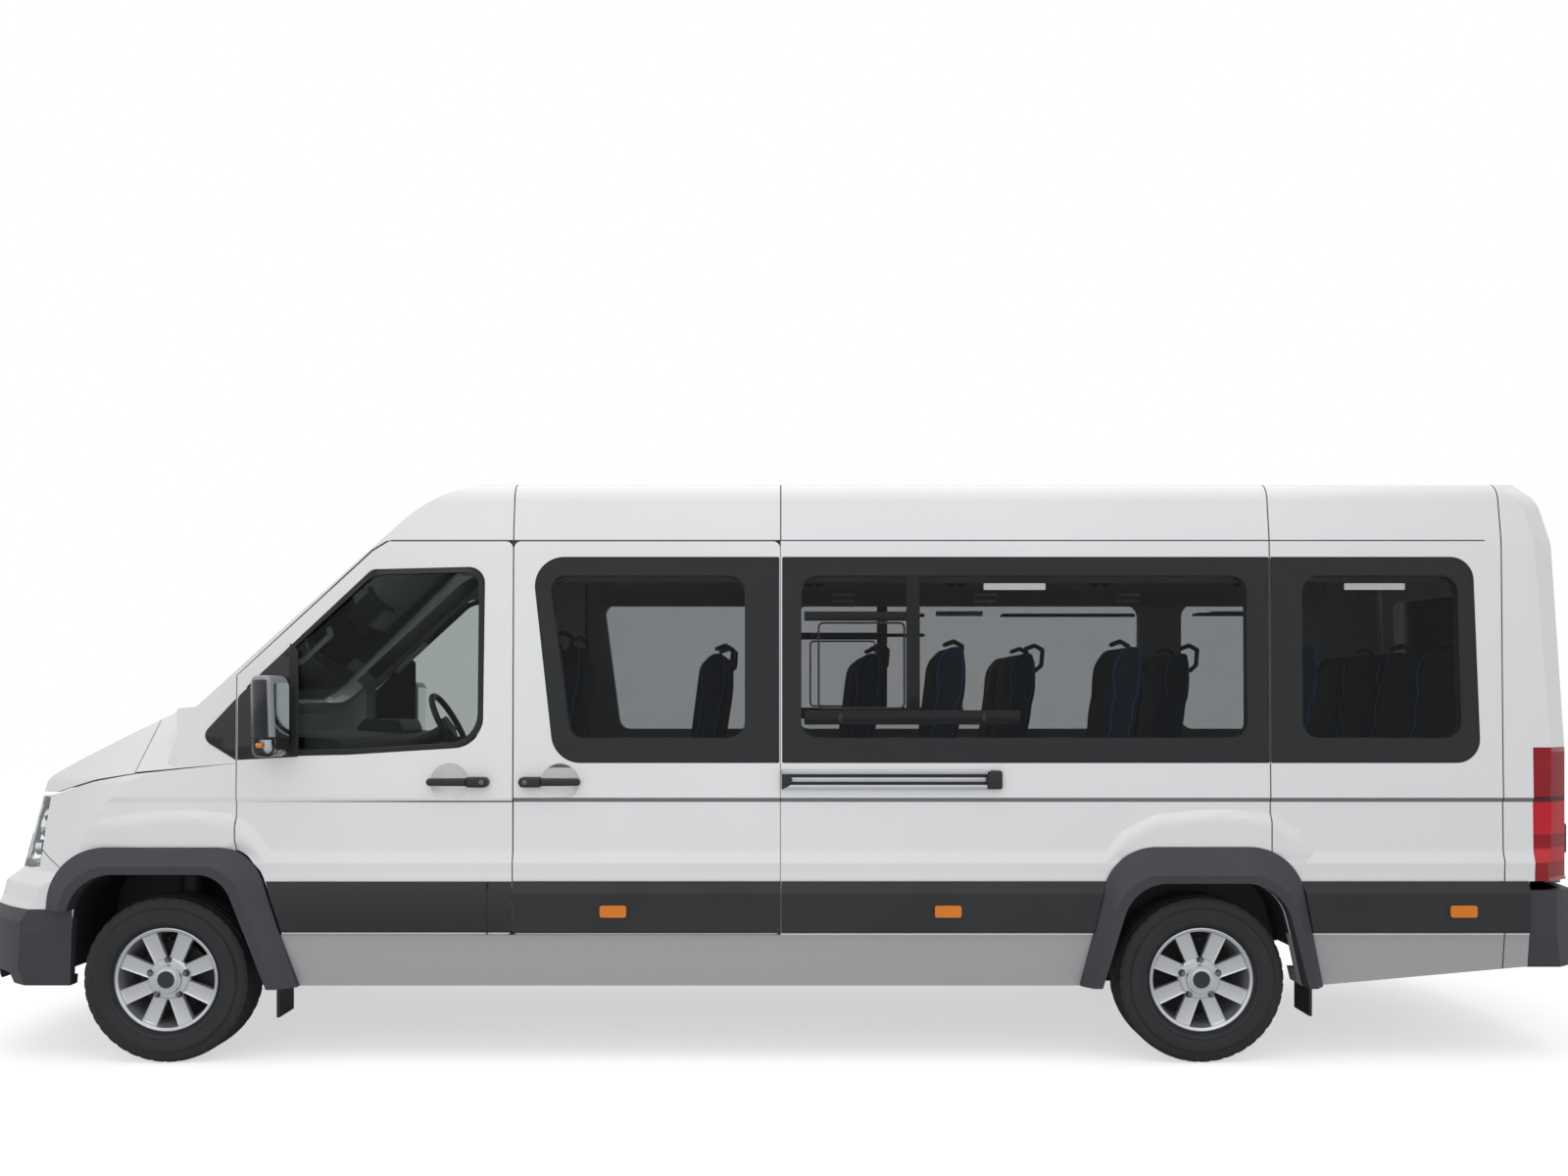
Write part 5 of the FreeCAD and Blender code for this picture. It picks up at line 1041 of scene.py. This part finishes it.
def splash_shields():
    """Dark pressed shields behind the brakes, seen between the spokes."""
    for name in WHEEL_SIDES:
        shield = lathe([(0.085, -0.092), (0.192, -0.092), (0.196, -0.084), (0.192, -0.089),
                        (0.085, -0.089)], hub(name), 48)
        body = "knuckle_" + name.split("_")[1] if name.startswith("front") else "body"
        piece("splash_shield_" + name, shield, body, steel_black, side=WHEEL_SIDES[name])


def wiper_blades():
    """Rubber blades under the two arms, following the glass."""
    glass = frame_copy("windscreen")
    tree = BVHTree.FromBMesh(glass)
    glass.free()
    parts = []
    for y0, y1 in ((-0.26, -0.80), (0.33, -0.13)):
        points = []
        for step in range(9):
            y, z = y0 + (y1 - y0) * step / 8, 1.592 + (1.622 - 1.592) * step / 8
            points.append(tree.ray_cast((4, y, z), (-1, 0, 0))[0] + Vector((0.009, 0, 0)))
        # each length runs 2 % into the next
        parts += [bar(start, end + (end - start) * 0.02, 0.006, 8) for start, end in zip(points, points[1:])]
    piece("wiper_blades", join(*parts), "body", seal_rubber)


def sensors():
    """Round parking sensors in the rear bumper, which curves forward to its ends."""
    discs = []
    for y in (-0.72, -0.28, 0.28, 0.72):
        x = low("rear_bumper").x + 0.012 + 0.035 * (abs(y) / 0.72) ** 2
        discs.append(bar((x, y, 0.60), (x - 0.012, y, 0.60), 0.012, 20))
    piece("parking_sensors", join(*discs), "body", gloss_black)


for label, side in SIDES:
    rear_end(side, label)
    cowl_corner(side, label)
splash_shields()
intake_grid()
rear_furniture()
sensors()
grille_bars()
wiper_blades()
number_plate("front_number_plate", "body", LENGTH_END - 0.0055, 0.485, 1)


# ---- seats ----
def islands(node):
    """The lowest and highest corner of each separate solid of a node."""
    bm = frame_copy(node)
    left = set(bm.verts)
    boxes = []
    while left:
        group = {left.pop()}
        edge_of = list(group)
        while edge_of:
            vert = edge_of.pop()
            for edge in vert.link_edges:
                other = edge.other_vert(vert)
                if other in left:
                    left.discard(other)
                    group.add(other)
                    edge_of.append(other)
        boxes.append(tuple(Vector(pick(v.co[i] for v in group) for i in range(3)) for pick in (min, max)))
    bm.free()
    return boxes


def stuffed(bm, cap):
    """Foam under a tight cover: remeshed, swollen by cloth under pressure, no point over the cap."""
    scene = bpy.context.scene
    pad = stand("stuffing", mesh_of(bm, "stuffing"))
    remesh = pad.modifiers.new("remesh", "REMESH")
    remesh.mode = "VOXEL"
    remesh.voxel_size = SEAT_VOXEL
    graph = bpy.context.evaluated_depsgraph_get()
    even = bpy.data.meshes.new_from_object(pad.evaluated_get(graph))
    pad.modifiers.clear()
    pad.data = even
    rest = [v.co.copy() for v in even.vertices]
    cloth = pad.modifiers.new("cloth", "CLOTH")
    cloth.settings.use_pressure = True
    cloth.settings.uniform_pressure_force = 4.0
    cloth.settings.effector_weights.gravity = 0.0
    cloth.point_cache.frame_start = 1
    cloth.point_cache.frame_end = SEAT_FRAMES
    for frame_number in range(1, SEAT_FRAMES + 1):
        scene.frame_set(frame_number)
    graph = bpy.context.evaluated_depsgraph_get()
    swollen = bpy.data.meshes.new_from_object(pad.evaluated_get(graph))
    for index, vert in enumerate(swollen.vertices):
        move = vert.co - rest[index]
        if move.length > cap:
            move = move.normalized() * cap
        even.vertices[index].co = rest[index] + move
    scene.frame_set(1)
    shaped = opened(even)
    bpy.data.objects.remove(pad)
    for _ in range(2):
        bmesh.ops.smooth_vert(shaped, verts=shaped.verts, factor=0.5, use_axis_x=True, use_axis_y=True,
                              use_axis_z=True)
    return shaped


def sew(bm, seam_y, width, depth):
    """Sewn channels along the pad at +seam_y and -seam_y."""
    bm.normal_update()
    pulls = []
    for vert in bm.verts:
        near = abs(abs(vert.co.y) - seam_y) / width
        if near < 1 and abs(vert.normal.y) < 0.5:
            pulls.append((vert, vert.normal * depth * (1 - near * near)))
    for vert, pull in pulls:
        vert.co -= pull
    for face in bm.faces:
        face.material_index = 1 if abs(face.calc_center_median().y) > seam_y else 0
    return bm


def rope(bm, side, radius):
    """A piping cord sewn round the pad, a little in from its left (1) or right (-1) end."""
    y = side * (max(v.co.y for v in bm.verts) - 0.014)
    line = bm.copy()
    made = cut_at(line, (0, y, 0), (0, 1, 0), dist=1e-5)["geom_cut"]
    edges = [e for e in made if isinstance(e, bmesh.types.BMEdge)]
    following = {}
    for edge in edges:
        for vert in edge.verts:
            following.setdefault(vert, []).append(edge.other_vert(vert))
    start = edges[0].verts[0]
    loop, last, here = [start.co.copy()], None, start
    while True:
        ahead = [v for v in following[here] if v is not last]
        if not ahead or ahead[0] is start or len(loop) > 2000:
            break
        last, here = here, ahead[0]
        loop.append(here.co.copy())
    line.free()
    curve = bpy.data.curves.new("rope", "CURVE")
    curve.dimensions = "3D"
    curve.bevel_depth = radius
    curve.bevel_resolution = 1
    spline = curve.splines.new("POLY")
    spline.points.add(len(loop[::2]) - 1)
    for point, place in zip(spline.points, loop[::2]):
        point.co = (*place, 1.0)
    spline.use_cyclic_u = True
    holder = bpy.data.objects.new("rope", curve)
    mesh = bpy.data.meshes.new_from_object(holder)
    bpy.data.objects.remove(holder)
    made = opened(mesh)
    bpy.data.meshes.remove(mesh)
    return made


def seat_pad(*corners):
    """Stuffed and sewn from its side outline, placed from the top rear edge of the seat's back."""
    bm = plate(corners, -SEAT_HALF + 0.009, SEAT_HALF - 0.009)
    return sew(stuffed(bm, 0.016), 0.128, 0.022, 0.006)


def placed(bm, at, wide, tall=1.0):
    """A copy at its seat, stretched to the seat's width and height."""
    made = bm.copy()
    resize(made, (1, wide, 1))
    shift(made, at)
    resize(made, (1, 1, tall), at)
    return made


def loop_handle(at, turn):
    """Grab loop on the aisle corner of a back: a bent tube with a ball in each bend."""
    points = [at + Vector((x, y * turn, z)) for x, y, z in (
        (-0.012, 0.03, -0.115), (-0.045, 0.03, -0.085), (-0.05, 0.03, -0.01), (-0.012, 0.028, 0.012),
        (0.03, 0.02, -0.004))]
    ball = [(0.0, -0.011), (0.0078, -0.0078), (0.011, 0.0), (0.0078, 0.0078), (0.0, 0.011)]
    return join(*bent(points, 0.011, 12), *[turned_forward(ball, point, 12) for point in points[1:]])


def seats():
    """A stuffed back and cushion with piped edges, and hard trim, at every seat of the frame."""
    backs = sorted((b for b in islands("seats") if b[1].z - b[0].z > 0.4), key=lambda b: (b[0].x, b[0].y))
    back = seat_pad((0.090, -0.730, 0.02), (0.207, -0.730, 0.03), (0.122, -0.07, 0.04),
                    (0.070, -0.008, 0.03), (0.010, -0.008, 0.03), (0.008, -0.200, 0.05))
    base = seat_pad((0.225, -0.738, 0.02), (0.225, -0.648, 0.02), (0.628, -0.628, 0.04),
                    (0.640, -0.732, 0.03))
    back_ropes = [rope(back, side, 0.0042) for side in (1, -1)]
    base_ropes = [rope(base, side, 0.0042) for side in (1, -1)]
    for number, (start, end) in enumerate(backs, 1):
        at = Vector((start.x, (start.y + end.y) / 2, end.z))
        wide = (end.y - start.y) / (2 * SEAT_HALF)
        base_at = Vector((at.x, at.y, low("seats").z + 0.740))
        tall = (end.z - start.z - 0.012) / 0.722
        for name, pad, instead in ((f"seat_back_{number}", placed(back, at, wide, tall), ("seats",)),
                                   (f"seat_cushion_{number}", placed(base, base_at, wide), ())):
            piece(name, pad, "body", [cloth, side_cloth], instead, sharp=60)
        cords = [placed(r, at, wide, tall) for r in back_ropes]
        cords += [placed(r, base_at, wide) for r in base_ropes]
        turn = -1 if at.y > 0 else 1
        aisle = at.y + turn * (end.y - start.y) / 2
        shield = block(at.x + 0.20, at.x + 0.60, aisle - 0.011, aisle + 0.011, base_at.z - 0.86,
                       base_at.z - 0.742, 0.008)
        rest = block(at.x + 0.15, at.x + 0.46, aisle - 0.02, aisle + 0.018, base_at.z - 0.53,
                     base_at.z - 0.49, 0.014, 3)
        grab = loop_handle(Vector((at.x + 0.02, aisle - turn * 0.05, at.z)), turn)
        piece(f"seat_trim_{number}", join(*cords, (shield, 1), (rest, 2), (grab, 2)), "body",
              [piping, shield_blue, dark_trim])
    for bm in (back, base, *back_ropes, *base_ropes):
        bm.free()


seats()


# ---- cab and saloon fittings ----
def duct_lamps(side, label):
    """Pairs of strip lamps along the duct, with two air nozzles ahead of each pair."""
    parts = []
    rose = [(0.0, -0.004), (0.013, -0.004), (0.02, -0.01), (0.026, -0.004), (0.024, 0.012), (0.0, 0.012)]
    for x in (-0.35, -1.12, -1.89, -2.66):
        parts += [bar((x - 0.06, y, z), (x + 0.06, y, z), 0.009, 12)
                  for y, z in ((0.711, 2.080), (0.668, 2.112))]
        parts += [(lathe(rose, Vector((x + dx, 0.64, 2.175)), 20, closed=False), 1) for dx in (0.13, 0.19)]
    piece("duct_lamps_" + label, join(*parts), "body", [lamp_white, dark_trim], side=side)


def window_rails():
    """Rails over the right windows, on two stays each."""
    parts = []
    y = HALF_BODY - 0.145
    for x0, x1, z in ((-0.19, -0.80, 2.01), (-0.19, -0.80, 1.90), (-1.24, -1.96, 2.01),
                      (-2.31, -2.57, 2.015)):
        parts.append(bar((x0, y, z), (x1, y, z), 0.010, 14))
        parts += [bar((x, y, z), (x, HALF_BODY - 0.075, z), 0.008, 10) for x in (x0, x1)]
    piece("window_rails", join(*parts), "body", dark_trim, side=-1)


def pillar_handle(side, label):
    """Grab handle on the cab's pillar."""
    points = [Vector((x, HALF_BODY - y, z)) for x, y, z in (
        (2.10, 0.16, 1.70), (2.075, 0.195, 1.715), (1.955, 0.205, 1.83), (1.95, 0.165, 1.85))]
    piece("pillar_handle_" + label, join(*bent(points, 0.013, 14)), "body", pale_trim, side=side)


for label, side in SIDES:
    duct_lamps(side, label)
    if side < 0:
        window_rails()
    pillar_handle(side, label)


# ---- studio ----
def studio():
    """Pale floor, even white surroundings, a large overhead softbox and a broad fill."""
    bm = bmesh.new()
    bmesh.ops.create_grid(bm, x_segments=1, y_segments=1, size=40)
    floor = stand("floor", mesh_of(bm, "floor"))
    material = bpy.data.materials.new("pale_studio_floor")
    floor.data.materials.append(material)
    world = bpy.data.worlds.new("white_studio")
    bpy.context.scene.world = world
    seen = []
    for owner in (material, world):
        owner.use_nodes = True
        owner.node_tree.nodes.clear()
        path = add(owner.node_tree, "LightPath").outputs
        seen.append(maths("MAXIMUM", path["Is Camera Ray"], path["Is Transmission Ray"]))
    # Matt vinyl sheet swept flat: it takes soft shadows, and is lifted to white where it is looked at.
    tree = material.node_tree
    paint = add(tree, "BsdfDiffuse", {"Color": linear("#E6E7E8")})
    glow = add(tree, "Emission", {"Color": (1, 1, 1, 1)},
               {"Strength": maths("MULTIPLY", seen[0], 0.6)})
    both = add(tree, "AddShader", None, {0: paint.outputs[0], 1: glow.outputs[0]})
    add(tree, "OutputMaterial", None, {"Surface": both.outputs[0]})
    tree = world.node_tree
    level = add(tree, "MapRange", {"To Min": 0.5, "To Max": 1.0},
                {"Value": maths("MAXIMUM", seen[1], path["Is Glossy Ray"])})
    back = add(tree, "Background", {"Color": (1, 1, 1, 1)}, {"Strength": level.outputs["Result"]})
    add(tree, "OutputWorld", None, {"Surface": back.outputs[0]})
    # place, aim, size, power
    for place, aim, size, power in (((0, 1.5, 7.0), (0, 0, 1), 9.0, 210),
                                    ((1.5, 9.0, 3.0), (0, 0, 1.3), 6.0, 95)):
        light = bpy.data.lights.new("softbox", "AREA")
        light.size = size
        light.energy = power
        lamp = stand("softbox", light)
        lamp.location = place
        lamp.visible_glossy = place[2] > 5
        lamp.rotation_euler = (Vector(aim) - Vector(place)).to_track_quat("-Z", "Y").to_euler()


def camera():
    """Level, square to the left side, a little above the window sill."""
    lens = bpy.data.cameras.new("camera")
    lens.sensor_width = 36.0
    lens.lens = 32.6
    lens.shift_y = 0.071
    body = stand("camera", lens)
    body.location = (-0.03, 7.0, 1.546)
    body.rotation_euler = (math.pi / 2, 0, math.pi)
    bpy.context.scene.camera = body


studio()
camera()
bpy.context.scene.view_settings.view_transform = "Standard"
